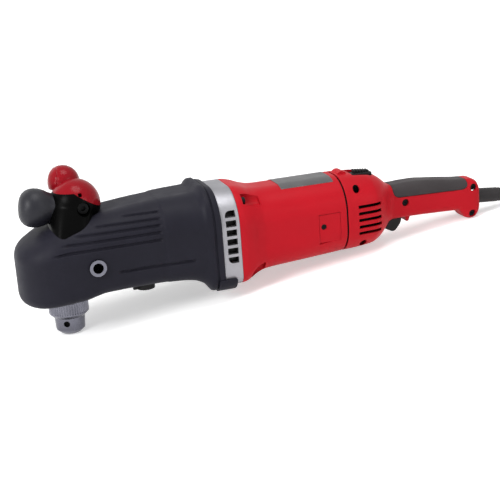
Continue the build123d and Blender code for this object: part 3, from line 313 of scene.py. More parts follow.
bandedLooks = {  # scale, direction, depth and wander of the bands
    "laminations": (320, "X", 0.0001, 0.05), "enamelledCopper": (220, "Z", 0.0004, 1.2),
}
slotFinish = {
    "boot_rubber": "bootRubber", "case_metal": "castAluminium", "collar_metal": "castAluminium",
    "red_plastic": "mouldedRed", "black_plastic": "mouldedBlack", "grip_rubber": "gripRubber",
    "steel": "brightSteel", "dark_steel": "blackenedSteel", "lamination_steel": "laminations",
    "copper": "enamelledCopper", "brass": "brass", "carbon": "carbonBlock", "plate_paint": "plateEnamel",
    "cord_rubber": "cordRubber",
}
finishes = {}
for name, look in looks.items():
    finishes[name], base = surfaceFinish(name, *look)
    if name in markedLooks:
        addMarks(*base, *markedLooks[name])
    if name in bandedLooks:
        addBands(*base, *bandedLooks[name])
for part in frame["record"]["subparts"]:
    for holder in nodes[part["node"]].material_slots:
        holder.material = finishes[slotFinish[part["material_slot"]]]
print("finishes made:", len(finishes))


# modelling helpers

def gridSkin(acrossStops, alongStops, pointAt, closed=False):
    # a create_grid sheet whose rows and columns are laid on stops
    bm = bmesh.new()
    columns, rows = len(acrossStops) - 1, len(alongStops) - 1
    ops.create_grid(bm, x_segments=columns, y_segments=rows, size=1.0)
    for vert in bm.verts:
        column = round((vert.co.x + 1) / 2 * columns)
        row = round((vert.co.y + 1) / 2 * rows)
        vert.co = pointAt(acrossStops[column], alongStops[row])
    closeUp(bm)
    if closed:
        capEnds(bm)
    return bm


def turnOut(bm):
    ops.recalc_face_normals(bm, faces=bm.faces)


def closeUp(bm, gap=0.001):
    ops.remove_doubles(bm, verts=bm.verts, dist=gap)
    ops.dissolve_degenerate(bm, dist=gap / 2, edges=bm.edges)
    turnOut(bm)


def capEnds(bm):
    ops.holes_fill(bm, edges=[edge for edge in bm.edges if edge.is_boundary], sides=0)
    turnOut(bm)


def modified(bm, kind, *others, **settings):
    # the shape with a modifier applied, and the bench cleared
    held = bench(bm)
    adjust(held.modifiers.new(kind.lower(), kind), settings)
    view = bpy.context.evaluated_depsgraph_get()
    mesh = bpy.data.meshes.new_from_object(held.evaluated_get(view))
    bm = bmesh.new()
    bm.from_mesh(mesh)
    bpy.data.meshes.remove(mesh)
    for done in (held, *others):
        data = done.data
        bpy.data.objects.remove(done)
        bpy.data.meshes.remove(data)
    return bm


def thicken(bm, wall):
    return modified(bm, "SOLIDIFY", thickness=wall, offset=-1.0, use_even_offset=True)


def carve(bm, tool, operation="DIFFERENCE"):
    other = bench(tool, "tool")
    return modified(bm, "BOOLEAN", other, operation=operation, solver="MANIFOLD", object=other)


def mould(bm, voxel, passes):
    # overlapping forms flow into one skin with soft fillets
    turnOut(bm)
    bm = modified(bm, "REMESH", mode="VOXEL", voxel_size=voxel)
    for _ in range(passes):
        ops.smooth_vert(bm, verts=bm.verts, factor=0.5, use_axis_x=True, use_axis_y=True, use_axis_z=True)
    return bm


def built(add, *settings, **more):
    bm = bmesh.new()
    add(bm, *settings, **more)
    return bm


def addRod(bm, start, end, radius, endRadius=None, sides=32):
    start, end = Vector(start), Vector(end)
    ops.create_cone(bm, cap_ends=True, segments=sides, radius1=radius,
            radius2=radius if endRadius is None else endRadius, depth=(end - start).length,
            matrix=standing((start + end) / 2, end - start))


def addRodPair(bm, x, z, inner, outer, radius, sides=32):
    for sign in (-1, 1):
        addRod(bm, (x, sign * inner, z), (x, sign * outer, z), radius, sides=sides)


def addBall(bm, place, radius):
    ops.create_uvsphere(bm, u_segments=48, v_segments=32, radius=radius, matrix=Matrix.Translation(place))


def addBlock(bm, corner, opposite, edge=0.0):
    low, high = (Vector([pick(pair) for pair in zip(corner, opposite)]) for pick in (min, max))
    made = ops.create_cube(bm, size=1.0)["verts"]
    ops.scale(bm, vec=high - low, verts=made)
    if edge:
        edges = list({e for vert in made for e in vert.link_edges})
        made = ops.bevel(bm, geom=edges, offset=edge, affect="EDGES", segments=3, profile=0.5,
                material=-1)["verts"]
    ops.translate(bm, vec=(low + high) / 2, verts=made)


def turned(profile, root, direction, sides=48):
    # (distance, radius) points spun about a line
    bm = bmesh.new()
    line = [bm.verts.new((radius, 0.0, distance)) for distance, radius in profile]
    wire = [bm.edges.new(pair) for pair in zip(line, line[1:])]
    ops.spin(bm, geom=line + wire, cent=(0, 0, 0), axis=(0, 0, 1), angle=tau, steps=sides, use_merge=True)
    ops.remove_doubles(bm, verts=bm.verts, dist=0.001)
    ops.transform(bm, matrix=standing(root, direction), verts=bm.verts)
    turnOut(bm)
    return bm


def addMade(bm, made):
    mesh = bpy.data.meshes.new("made")
    made.to_mesh(mesh)
    made.free()
    bm.from_mesh(mesh)
    bpy.data.meshes.remove(mesh)


def shiftNew(bm, grown, shift):
    tips = [part for part in grown["geom"] if isinstance(part, bmesh.types.BMVert)]
    ops.translate(bm, vec=shift, verts=tips)


def addPrism(bm, outline, rounds, start, end, edge=0.0):
    # an outline in x and z with rounded corners, extruded across
    low, high = sorted((start, end))
    made = bmesh.new()
    rim = [made.verts.new((x, low, z)) for x, z in outline]
    made.faces.new(rim)
    for corner, radius in zip(rim, rounds):
        if radius:
            ops.bevel(made, geom=[corner], offset=radius, affect="VERTICES", segments=6, profile=0.5, material=-1)
    shiftNew(made, ops.extrude_face_region(made, geom=list(made.faces)), (0, high - low, 0))
    turnOut(made)
    if edge:
        border = [e for e in made.edges if e.calc_face_angle(0.0) > radians(60)]
        ops.bevel(made, geom=border, offset=edge, affect="EDGES", segments=4, profile=0.5, material=-1,
                clamp_overlap=True)
    addMade(bm, made)


def finishPiece(bm, name, finish, replacing=None, body="tool", sharp=34.0, place=toolPlace):
    ops.transform(bm, matrix=place, verts=bm.verts)
    limit = radians(sharp)
    for face in bm.faces:
        face.smooth = True
    for edge in bm.edges:
        edge.smooth = not (edge.is_manifold and edge.calc_face_angle(0.0) > limit)
    piece = bench(bm, name)
    piece.data.materials.append(finishes[finish])
    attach(piece, body)
    if replacing:
        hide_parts(replacing)
    print(name, "made:", len(piece.data.polygons), "faces")
    return piece


def steps(start, end, count):
    return [start + (end - start) * k / count for k in range(count + 1)]


def between(start, end, share):
    return start + (end - start) * share


def eased(value):
    value = min(max(value, 0.0), 1.0)
    return value * value * (3 - 2 * value)


def squared(angle, power):
    # cosine and sine of a rounded square
    return [copysign(abs(part) ** power, part) for part in (cos(angle), sin(angle))]


def slopeAt(stations, k, column):
    # level where the sizes turn back
    near = stations[max(k - 1, 0):k + 2]
    slopes = [(b[column] - a[column]) / (b[0] - a[0]) for a, b in zip(near, near[1:])]
    first, last = slopes[0], slopes[-1]
    if len(slopes) == 1:
        return first
    return 2 * first * last / (first + last) if first * last > 0 else 0.0


def sizeAt(stations, x, inset=0.0):
    # half width, top, bottom and the two corner radii, smooth from station to station
    x = min(max(x, stations[0][0]), stations[-1][0])
    k = max(i for i in range(len(stations) - 1) if stations[i][0] <= x)
    span = stations[k + 1][0] - stations[k][0]
    f = (x - stations[k][0]) / span
    size = []
    for column in range(1, 6):
        a, b = stations[k][column], stations[k + 1][column]
        slopeA, slopeB = slopeAt(stations, k, column) * span, slopeAt(stations, k + 1, column) * span
        size.append(a * (1 + 2 * f) * (1 - f) ** 2 + slopeA * f * (1 - f) ** 2
                + b * f * f * (3 - 2 * f) + slopeB * f * f * (f - 1))
    half, top, bottom, topRound, bottomRound = size
    return half - inset, top - inset, bottom + inset, max(topRound - inset, 0.5), max(bottomRound - inset, 0.5)


outlineShares = (0.12, 0.46, 0.66, 0.86)  # top flat, top corner, side, bottom corner


def outlinePoint(size, t):
    # out from the middle and up, with the angle faced: t is 0 at the top middle and 1 at the bottom middle
    half, top, bottom, topRound, bottomRound = size
    a, b, c, d = outlineShares
    if t <= a:
        return (half - topRound) * t / a, top, quarter
    if t <= b:
        angle = quarter * (b - t) / (b - a)
        return half - topRound * (1 - cos(angle)), top - topRound * (1 - sin(angle)), angle
    if t <= c:
        return half, between(top - topRound, bottom + bottomRound, (t - b) / (c - b)), 0.0
    if t <= d:
        angle = -quarter * (t - c) / (d - c)
        return half - bottomRound * (1 - cos(angle)), bottom + bottomRound * (1 + sin(angle)), angle
    return (half - bottomRound) * (1 - t) / (1 - d), bottom, -quarter


def outlineAtHeight(size, z):
    half, top, bottom, topRound, bottomRound = size
    if z > top - topRound:
        angle = asin(min((z - top + topRound) / topRound, 1.0))
        return half - topRound * (1 - cos(angle)), angle
    if z < bottom + bottomRound:
        angle = asin(max((z - bottom - bottomRound) / bottomRound, -1.0))
        return half - bottomRound * (1 - cos(angle)), angle
    return half, 0.0


def outlineRun(counts):
    ends = (0.0, *outlineShares, 1.0)
    return [0.0] + [t for start, end, count in zip(ends, ends[1:], counts) for t in steps(start, end, count)[1:]]


outlineStops = outlineRun((4, 18, 8, 9, 4))


def bothSides(stops):
    # down the near side and up the far side
    return [(-1, t) for t in stops] + [(1, t) for t in reversed(stops)][1:]


def outlineRing(stations, profile, closed=False):
    # (x, inset) rings round the whole outline
    def ringPoint(stop, spot):
        side, t = stop
        out, z, _ = outlinePoint(sizeAt(stations, *spot), t)
        return spot[0], side * out, z

    return gridSkin(bothSides(outlineStops), profile, ringPoint, closed)


def outlineTube(stations, profile, wall):
    # a ring open at both ends has no inside, so its faces are turned away from its axis
    bm = outlineRing(stations, profile)
    face = max(bm.faces, key=lambda face: face.calc_area())
    if face.normal.yz.dot(face.calc_center_median().yz) < 0:
        ops.reverse_faces(bm, faces=bm.faces)
    return thicken(bm, wall)


def turnTowards(bm, way):
    if sum(face.normal.dot(way) * face.calc_area() for face in bm.faces) < 0:
        ops.reverse_faces(bm, faces=bm.faces)


def makeSlotShade(name, shape, finish):
    # a black lining behind the slots, painted shade for the dark inside them, which also stops the view from one
    # side's slots through the other's
    slotShade = shape["slotShade"]
    profile = [(x, slotShade["inset"]) for x in steps(*slotShade["x"], slotShade["rows"])]
    finishPiece(outlineTube(shape["stations"], profile, slotShade["wall"]), name, finish)


# cord, plug and tie: the camera doesn't see the put-away coil behind the handle

cordLay = {
    "exit": (309.495, 0, 13.689), "diameter": 8.5, "length": 2.25,
    "lead": [(352.25, 0, 4.85), (397.495, 36.1125, 5.65)],
    "coilMiddle": (431.495, -30), "turns": 6.5, "pointsPerTurn": 16, "layerTurns": 3.25,
    "innerRadius": 35.8875, "pitch": 9.3, "floorHeight": 5.65, "layerRise": 9.2, "riseTurns": 0.3,
    "tail": [(411.495, -96.1125, 14.85), (389.495, -98.5125, 9.4), (371.495, -98.5125, 9.4)],
}


def coilPoint(lay, turns):
    angle = quarter - tau * turns
    radius = lay["innerRadius"] + lay["pitch"] * abs(turns - lay["layerTurns"])
    rise = eased((turns - lay["layerTurns"]) / lay["riseTurns"] + 0.5)
    x, y = lay["coilMiddle"]
    return x + radius * cos(angle), y + radius * sin(angle), lay["floorHeight"] + lay["layerRise"] * rise


def makeCord(lay):
    count = round(lay["turns"] * lay["pointsPerTurn"])
    coil = [coilPoint(lay, k / lay["pointsPerTurn"]) for k in range(count + 1)]
    route = [lay["exit"], *lay["lead"], *coil, *lay["tail"]]
    line = adjust(bpy.data.curves.new("supplyCord", "CURVE"), {
        "dimensions": "3D", "bevel_depth": lay["diameter"] / 2000, "bevel_resolution": 5, "resolution_u": 6,
        "use_fill_caps": True})
    spline = line.splines.new("NURBS")
    spline.points.add(len(route) - 1)
    for point, place in zip(spline.points, route):
        point.co = (*(Vector(place) / 1000), 1.0)
    adjust(spline, {"order_u": 3, "use_endpoint_u": True})
    cord = addObject("supplyCord", line)
    line.materials.append(finishes["cordRubber"])
    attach(cord, "tool")
    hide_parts("cord_lead", "cord_coil", "cord_tail")
    print("supplyCord laid with", len(route), "points")
    return cord


plugShape = {
    "rear": (371.495, -98.5125, 9.4),  # where the cord goes in, mm
    "sections": [  # distance from the rear, half width, half height
        (0, 6.2, 6.2), (5.8, 6.6, 6.6), (10.8, 8, 7.4), (18.8, 10.6, 8.4), (25.8, 12.2, 9),
        (31.8, 13.2, 9.2), (38.8, 13.5, 9.2), (41.2, 13.5, 9.2), (42, 12.9, 8.6),
    ],
    "ribs": 4, "ribDepth": 0.7, "ribSpan": (7.8, 23.8), "squareness": 3, "squareFrom": 16,
}


def makePlug(shape):
    rear, across, up = shape["rear"]
    sections = shape["sections"]
    low, high = shape["ribSpan"]
    rim, tip = sections[-2][0], sections[-1][0]

    def plugPoint(angle, along):
        a, b = next(pair for pair in zip(sections, sections[1:]) if pair[1][0] >= along)
        wide, tall = (between(a[k], b[k], (along - a[0]) / (b[0] - a[0])) for k in (1, 2))
        rib = 0.0
        if low < along < high:
            rib = shape["ribDepth"] * (0.5 - 0.5 * cos(tau * shape["ribs"] * (along - low) / (high - low)))
        y, z = squared(angle, between(1, 2 / shape["squareness"], eased(along / shape["squareFrom"])))
        return rear - along, across + y * (wide - rib), up + z * (tall - rib)

    bm = gridSkin(steps(0.0, tau, 48), steps(0.0, rim, 64) + [(rim + tip) / 2, tip], plugPoint, closed=True)
    return finishPiece(bm, "plugBody", "cordRubber", "plug_body", sharp=40.0, place=floorPlace)


tieShape = {
    "middle": (381.661, -30, 10.25), "inner": (28.3, 17.9), "thick": 1.2, "wide": 8, "corner": 4,
    "lock": ((-4.5, -5, -0.4), (4.5, 5, 2.6), 0.8), "end": ((4, -3.4, -0.1), (17, 3.4, 1.1), 0.3),
}


def makeTie(shape):
    middle = Vector(shape["middle"])
    halfX, halfZ = (inner / 2 + shape["thick"] for inner in shape["inner"])
    bm = bmesh.new()
    corners = [bm.verts.new(middle + Vector((signX * halfX, -shape["wide"] / 2, signZ * halfZ)))
            for signX, signZ in ((-1, -1), (1, -1), (1, 1), (-1, 1))]
    bm.faces.new(corners)
    ops.bevel(bm, geom=corners, offset=shape["corner"], affect="VERTICES", segments=8, profile=0.5, material=-1)
    ops.delete(bm, geom=list(bm.faces), context="FACES_ONLY")
    shiftNew(bm, ops.extrude_edge_only(bm, edges=list(bm.edges)), (0, shape["wide"], 0))
    closeUp(bm)
    bm = thicken(bm, shape["thick"])
    top = middle + Vector((0, 0, halfZ))
    for low, high, edge in (shape["lock"], shape["end"]):
        addBlock(bm, top + Vector(low), top + Vector(high), edge)
    return finishPiece(bm, "cordTie", "mouldedBlack", "cord_tie", place=floorPlace)


cord = makeCord(cordLay)
plug = makePlug(plugShape)
tie = makeTie(tieShape)


# rubber boot over the gear head

bootShape = {
    "stations": [  # x, half width, top, bottom, top radius, bottom radius
        (spindleX, 53.9, 38, -46.4, 34, 10), (-182, 54.3, 40, -45.4, 34.5, 10.6),
        (-155.6, 54.4, 44.5, -40.6, 36, 12.6), (-115.6, 54.2, 49.4, -40, 37.5, 14),
        (-91, 54, 51.3, -40.3, 37.5, 14), (-88, 54, 51.5, -40.4, 37.5, 14),
        (-84.5, 55, 52.2, -40.6, 37.5, 14), (-70, 56.4, 52.9, -41.2, 37.5, 14),
        (-56, 57.4, 53.3, -43.2, 38, 14.5), (-43.5, 58.3, 53.9, -49.6, 39.5, 15.4),
        (-41.1, 58.6, 55.6, -52.4, 40.4, 16.2), (-38.9, 59, 58.8, -56, 41.6, 17.2),
        (-36.9, 59.3, 60.2, -58.6, 42, 18), (-34.1, 59.4, 60.4, -59.4, 42, 18),
        (-32.1, 59.3, 60.2, -59.3, 42, 18), (-30.9, 57.6, 57.9, -57.6, 41, 17),
        (-29.6, 57.5, 57.4, -57.5, 41, 17), (-28.6, 58.7, 58, -58.7, 41.4, 17.4),
        (-23.6, 58.5, 57, -58.5, 41.4, 17.4), (-22.5, 58.1, 56.6, -58.1, 41.2, 17.2),
        (-22, 57.4, 55.9, -57.4, 40.8, 16.8),
    ],
    "rows": [-22, -22.2, -22.5, -23, -23.6, -26, -28.2, -28.6, -28.9, -29.3, -29.6, -30.2, -30.9, -31.3, -31.7,
            -32.1, -33.1, -34.1, -35.1, -36.1, -36.9, -37.9, -38.9, -40, -41.1, -42.3]
            + steps(-43.5, -56, 8) + steps(-56, -82, 11)[1:] + steps(-82, -92, 10)[1:]
            + steps(-92, spindleX, 44)[1:],
    "wall": 3.2, "noseBend": 2.25,
    # the nose's sloping top, and its lower front edge
    "droop": {"reach": (-4, 40), "depth": 11, "heights": (-20, 38), "power": 1.5,
            "sole": (4, -24, -46)},
    "grooves": [  # height, front end, rear end; fronts beyond the spindle run on round the nose
        (42.4, -133, -87.5), (35.7, -165, -88), (28.9, -188, -88.5), (21.4, -203, -89),
        (13, -214.5, -89), (-16.6, -146, -53),
    ],
    "grooveWidth": 4.4, "grooveDepth": 2.4, "grooveFade": (9, 3),
    "grooveSteep": 1.5, "grooveTurn": 0.25, "skinWithin": 0.3,  # mm from the outline that still count as the skin
    "bushing": (-166, -7), "bushingCut": (40, 9.5), "retainerCut": (-38, 30.3),
    "selectorCut": (-103.6, -30, 11.5),
    "tabs": {"x": (-30, -7.6), "y": (36, 62), "z": (-64, -45), "edge": 2.6},
    "tabBand": (59.2, 59, -61, 41.4, 17.4), "tabRear": [(-31, 0), (-9.6, 0), (-8.2, 0.6), (-7.6, 2)],
}
bootStops = outlineRun((4, 72, 38, 9, 4))


def headSides(rows):
    # along the near side, round the nose and back along the far side
    nose = [(0, angle) for angle in steps(0.0, 180.0, 56)[1:-1]]
    return [(-1, x) for x in rows] + nose + [(1, x) for x in reversed(rows)]


def droopNose(bm):
    # the top of the nose slopes down to the front
    droop = bootShape["droop"]
    (low, high), (start, end), (sag, soleTop, sole) = droop["heights"], droop["reach"], droop["sole"]
    for vert in bm.verts:
        share = min(max((vert.co.z - low) / (high - low), 0.0), 1.2)
        drop = droop["depth"] * share ** droop["power"] + sag * eased((vert.co.z - soleTop) / (sole - soleTop))
        vert.co.z -= eased((spindleX - vert.co.x - start) / (end - start)) * drop


def bootForm(stops, grow=0.0, closed=False, rows=bootShape["rows"]):
    def bootPoint(t, stop):
        side, value = stop
        out, z, _ = outlinePoint(sizeAt(bootShape["stations"], value if side else spindleX, -grow), t)
        if side:
            return value, side * out, z
        across, forward = squared(radians(value), 2 / bootShape["noseBend"])
        return spindleX - out * forward, -out * across, z

    bm = gridSkin(stops, headSides(rows), bootPoint, closed)
    if closed:
        droopNose(bm)
    return bm


def pressGrooves(bm, shape):
    # finger grooves are pressed into the outer skin only
    bend = shape["noseBend"]
    front, rear = shape["grooveFade"]
    for vert in bm.verts:
        x, y, z = vert.co
        forward = max(spindleX - x, 0.0)
        out = (abs(y) ** bend + forward ** bend) ** (1 / bend)
        outline, angle = outlineAtHeight(sizeAt(shape["stations"], max(x, spindleX)), z)
        if abs(out - outline) > shape["skinWithin"] or out < 1.0:
            continue
        along = x if forward == 0 else spindleX - out * atan2(forward, abs(y))
        deep = 0.0
        for height, start, end in shape["grooves"]:
            away = abs(z - height) / max(cos(angle), shape["grooveTurn"]) / (shape["grooveWidth"] / 2)
            if away < 1 and start < along < end:
                fade = min(eased((along - start) / front), eased((end - along) / rear))
                deep += shape["grooveDepth"] * eased(shape["grooveSteep"] * (1 - away)) * fade
        share = 1 - deep * cos(angle) / out
        vert.co = (x if forward == 0 else spindleX - forward * share, y * share, z - deep * sin(angle))


def addDrop(bm, x, top, radius, sides=48):
    addRod(bm, (x, 0, -beyond), (x, 0, top), radius, sides=sides)


def makeBoot(shape):
    bm = thicken(bootForm(bootStops), shape["wall"])
    tabs, tools = bmesh.new(), bmesh.new()
    (x0, x1), (y0, y1), (z0, z1) = (shape["tabs"][key] for key in ("x", "y", "z"))
    for sign in (-1, 1):
        addBlock(tabs, (x0, sign * y0, z0), (x1, sign * y1, z1), shape["tabs"]["edge"])
    band = outlineRing([(x, *shape["tabBand"]) for x in (x0, x1)], shape["tabRear"], closed=True)
    bm = carve(bm, carve(tabs, band, "INTERSECT"), "UNION")
    inner, radius = shape["bushingCut"]
    addRodPair(tools, *shape["bushing"], inner, beyond, radius, 48)
    addDrop(tools, spindleX, *shape["retainerCut"], 64)
    addDrop(tools, *shape["selectorCut"])
    bm = carve(bm, tools)
    pressGrooves(bm, shape)
    droopNose(bm)
    finishPiece(bm, "bootSkin", "bootRubber", "rubber_boot", sharp=40.0)


gearShape = {
    "rear": -48, "inset": 3.6, "wall": 3, "post": (-170, 30, 66, 9), "bolt": (54, 20, 4.1),
    "boss": (31, 46, 12), "seat": (34, 60, 9.5), "spindleCut": (-30, 24),
}


def makeGearHousing(shape):
    # the cast gear case under the boot, with the post for the front handle and the bosses for the side bushings
    rows = steps(shape["rear"], spindleX, 40)
    bm = thicken(bootForm(bootStops, -shape["inset"], rows=rows), shape["wall"])
    bosses, tools = bmesh.new(), bmesh.new()
    x, low, high, radius = shape["post"]
    addRod(bosses, (x, 0, low), (x, 0, high), radius, sides=48)
    z, reach, radius = shape["bolt"]
    addRod(tools, (x, -reach, z), (x, reach, z), radius)
    addRodPair(bosses, *bootShape["bushing"], *shape["boss"], 48)
    addRodPair(tools, *bootShape["bushing"], *shape["seat"], 48)
    addDrop(tools, spindleX, *shape["spindleCut"], 64)
    addDrop(tools, *bootShape["selectorCut"])
    bm = carve(carve(bm, bosses, "UNION"), tools)
    droopNose(bm)
    finishPiece(bm, "gearHousing", "castAluminium", "gear_case", sharp=40.0)


makeBoot(bootShape)
makeGearHousing(gearShape)


# cast collar with its air slots

collarShape = {
    "stations": [(-43, 56, 54.2, -56, 40, 15), (0, 56, 54.2, -56, 40, 15)],
    "profile": [(-36, 1.4), (-29, 1.4), (-22, 1.4), (-21.9, 0.9), (-21.6, 0.3), (-21, 0), (-18, 0),
            (-15, 0), (-11, 0), (-7, 0), (-3, 0), (-1.2, 0), (-0.6, 0.15), (-0.25, 0.5),
            (-0.1, 1.1)],
    "wall": 6, "slotShade": {"x": (-32, -1), "rows": 6, "inset": 9.6, "wall": 1.2},
    "slots": {"x": (-16.6, -4.2), "top": 30, "pitch": 10.7, "count": 6, "tall": 7.4, "edge": 0.9, "endRound": 5.92,
            "inner": 34},
}


def makeCollar(shape):
    slots = shape["slots"]
    x0, x1 = slots["x"]
    tools = bmesh.new()
    for k in range(slots["count"]):
        middle = slots["top"] - slots["pitch"] * k
        low, high = middle - slots["tall"] / 2, middle + slots["tall"] / 2
        rounds = [slots["edge"]] * 4
        if k in (0, slots["count"] - 1):
            rounds[0 if k else 3] = slots["endRound"]  # the end slots follow the collar's corners
        for sign in (-1, 1):
            addPrism(tools, [(x0, low), (x1, low), (x1, high), (x0, high)], rounds, sign * slots["inner"],
                    sign * beyond)
    bm = carve(outlineTube(shape["stations"], shape["profile"], shape["wall"]), tools)
    finishPiece(bm, "castCollar", "castAluminium", "collar")
    # black lining behind the collar's slots: painted shade
    makeSlotShade("collarSlotShade", shape, "mouldedBlack")


makeCollar(collarShape)


# motor housing

housingShape = {
    "stations": [
        (0, 56, 54.2, -56, 40, 15), (5, 55.6, 53.8, -55.6, 40, 15.5),
        (14, 53.3, 51.6, -53.5, 39.4, 19), (24, 49.6, 47.9, -50.8, 38, 22),
        (34, 47.4, 45.8, -49.2, 37.2, 24), (44, 46.9, 45.3, -48.7, 37, 25.5),
        (90, 46.1, 45.6, -47.6, 37.5, 30.5), (134.2, 45.5, 46, -46.5, 38, 36),
    ],
    "wall": 3.2, "door": {"x": (98.7, 125.8), "z": (-24.8, 9.8), "depth": 2.25, "hair": (0.02, 0.0006)},
    "screws": [(38.8, 39.4), (43, -43)], "boss": (1, 36, 10.5), "pocket": (8, 31, 8.2),
    "shadeRing": [(130, 3.4), (134, 3.4), (136.5, 3.4), (141, 3.4)],  # x and inset of the black ring in the joint gap, painted shade that darkens the gap
    "shadeRingWall": 2.2, "rimIn": [1.2, 0.5, 0.15], "rimOut": [0.1, 0.4, 1],
    "frontRows": [0, 0, 0.25, 0.7], "flareRows": (1.5, 46, 30), "rearRows": [133.9, 134.1, 134.2], "rearStart": 133.4,
    "inside": (0.5, 48, 24), "insideInset": 1,  # rows and inset of the form that trims the screw bosses
}


def makeHousing(shape):
    door = shape["door"]
    (front, rear), (hairX, hairT) = door["x"], door["hair"]
    middle = sizeAt(shape["stations"], (front + rear) / 2)
    a, b, c, d = outlineShares
    doorTop = b - (b - a) * outlineAtHeight(middle, door["z"][1])[1] / quarter
    doorLow = c - (d - c) * outlineAtHeight(middle, door["z"][0])[1] / quarter
    xs = shape["frontRows"] + steps(*shape["flareRows"])
    xs += steps(xs[-1], front - hairX, 14)[1:] + steps(front, rear, 8)
    xs += steps(rear + hairX, shape["rearStart"], 3) + shape["rearRows"]
    insets = shape["rimIn"] + [0.0] * (len(xs) - 6) + shape["rimOut"]
    ts = sorted({*outlineStops, doorTop - hairT, doorTop, doorLow, doorLow + hairT})

    def housingPoint(k, stop):
        side, t = stop
        out, z, angle = outlinePoint(sizeAt(shape["stations"], xs[k], insets[k]), t)
        if front - hairX / 2 < xs[k] < rear + hairX / 2 and doorTop <= t <= doorLow:
            out -= door["depth"] * cos(angle)
            z -= door["depth"] * sin(angle)
        return xs[k], side * out, z

    bm = thicken(gridSkin(range(len(xs)), bothSides(ts), housingPoint), shape["wall"])
    bosses, tools = bmesh.new(), bmesh.new()
    for out, z in shape["screws"]:
        for y in (-out, out):
            for held, (start, end, radius) in ((bosses, shape["boss"]), (tools, shape["pocket"])):
                addRod(held, (start, y, z), (end, y, z), radius, sides=40)
    rows = [(x, shape["insideInset"]) for x in steps(*shape["inside"])]
    inside = outlineRing(shape["stations"], rows, closed=True)
    bm = carve(carve(bm, carve(inside, bosses, "INTERSECT"), "UNION"), tools)
    finishPiece(bm, "motorShell", "mouldedRed", "motor_housing")
    # a black ring deep in the joint gap: painted shade, so the gap reads dark instead of red
    shadeRing = outlineTube(shape["stations"], shape["shadeRing"], shape["shadeRingWall"])
    finishPiece(shadeRing, "jointShadeRing", "mouldedBlack")


makeHousing(housingShape)


# rear cap and handle, in two shells

handleShape = {
    "stations": [
        (136.2, 45.5, 46, -46.5, 38, 36), (150, 45.2, 45.2, -45.9, 37.4, 35.4),
        (172.4, 43.8, 43, -43.6, 36, 34), (182, 38.8, 40.2, -40.4, 33, 31.6),
        (190.4, 31.4, 35.4, -34.4, 26.8, 25.8), (196.4, 25, 30.2, -28.4, 20.8, 19.6),
        (200.8, 20.8, 26.2, -23.8, 16.6, 15.4), (204.6, 18.7, 23.4, -21.2, 13.2, 11.8),
        (208, 17.9, 22.4, -20, 11.2, 10), (213, 17.6, 22.4, -19.8, 10.6, 9.2),
        (224, 17.5, 23.1, -19.8, 11, 9), (238.4, 17.5, 23.2, -20, 11, 9),
        (260, 17.3, 21.2, -20.7, 10.8, 9), (280, 17, 18.8, -21.5, 10.4, 9),
        (296, 17, 16.5, -22.6, 10, 9), (301, 17, 16, -27.5, 10, 9),
        (306, 17, 15.8, -33, 10, 9), (313, 17, 15.6, -34.8, 10, 9),
        (317.4, 16.7, 14.6, -33.9, 9.6, 9), (321, 15.9, 12.4, -31, 9, 9),
        (323.2, 14.6, 9, -27.6, 9, 9), (324.2, 12.6, 5.6, -24.6, 8.4, 8.4),
    ],
    "wall": 2.8, "seam": 0.12, "rimIn": [0.9, 0.35, 0.1], "heelIn": 5,
    "frontRows": [136.2, 136.25, 136.5, 137], "capRows": (138, 186, 24), "neckStart": 187,
    "heelRows": steps(310, 319, 9) + [320, 321, 322, 322.8, 323.3, 323.7, 324, 324.15, 324.2],
    "padRows": (0.05, 1.2, 9, 12),  # a hair outside the pad's ends, then its lip, corner and straight part
    "padX": (206.5, 307.5), "padLow": (7.6, 4.4), "padDepth": 2, "padCorner": 9, "padWall": 1.7, "padGap": 0.2,
    "padLift": 0.9,
    "vents": {"x": (149.4, 180.4), "inner": 30, "top": 11.5, "pitch": 8.1, "count": 5, "tall": 4, "edge": 0.8},
    "screws": [(151.1, 31.6, 26), (157.9, -36, 15), (222.4, 0, 12.5), (314.6, 5.6, 11.5), (312.6, -27, 11.5)],
    "screwRadius": 4.6, "bump": (144.4, 42, 7, 9),
    "pockets": [  # low and high x, half width, low and high z, edge, for the lever and the trigger
        (154.9, 190, 16.5, 37.2, 70, 1.5), (191.4, 223.4, 7.1, -60, -13, 1)],
    "reliefRoot": (326, 0, -10.2), "droop": 5, "reliefCut": (-9, 12, 9.35),
    "slotShade": {"x": (141, 187), "rows": 8, "inset": 13, "wall": 1.2},
    "guard": [(224.9, -17.5), (232.9, -17.5), (229.4, -26), (226.9, -26)], "guardHalf": 8.12,
}


def padEdge(x):
    # the pad's lower edge, with rounded corners at both ends
    low, high = handleShape["padX"]
    reach = handleShape["padCorner"]
    lift = 0.0
    for gap in (x - low, high - x):
        if 0 <= gap < reach:
            lift = max(lift, reach - sqrt(reach ** 2 - (reach - gap) ** 2))
    return between(*handleShape["padLow"], (x - low) / (high - low)) + lift * handleShape["padLift"]


def gripOutline(x, t, inset=0.0):
    # t is 0.5 on the pad's edge line
    size = sizeAt(handleShape["stations"], x, inset)
    count = 160
    dense = [outlinePoint(size, t) for t in steps(0.0, 1.0, count)]
    run = [0.0]
    for a, b in zip(dense, dense[1:]):
        run.append(run[-1] + hypot(b[0] - a[0], b[1] - a[1]))
    edge = padEdge(x)
    split = next(k for k in range(count) if dense[k + 1][1] < edge)
    fall = max(dense[split][1] - dense[split + 1][1], 1e-6)
    atEdge = between(run[split], run[split + 1], (dense[split][1] - edge) / fall)
    want = atEdge * t / 0.5 if t <= 0.5 else between(atEdge, run[-1], (t - 0.5) / 0.5)
    k = next((i for i in range(count) if run[i + 1] >= want), count - 1)
    share = (want - run[k]) / max(run[k + 1] - run[k], 1e-9)
    return [between(a, b, share) for a, b in zip(dense[k], dense[k + 1])]


def relief(distance):
    droop = radians(handleShape["droop"])
    return Vector(handleShape["reliefRoot"]) + Vector((cos(droop), 0, -sin(droop))) * distance


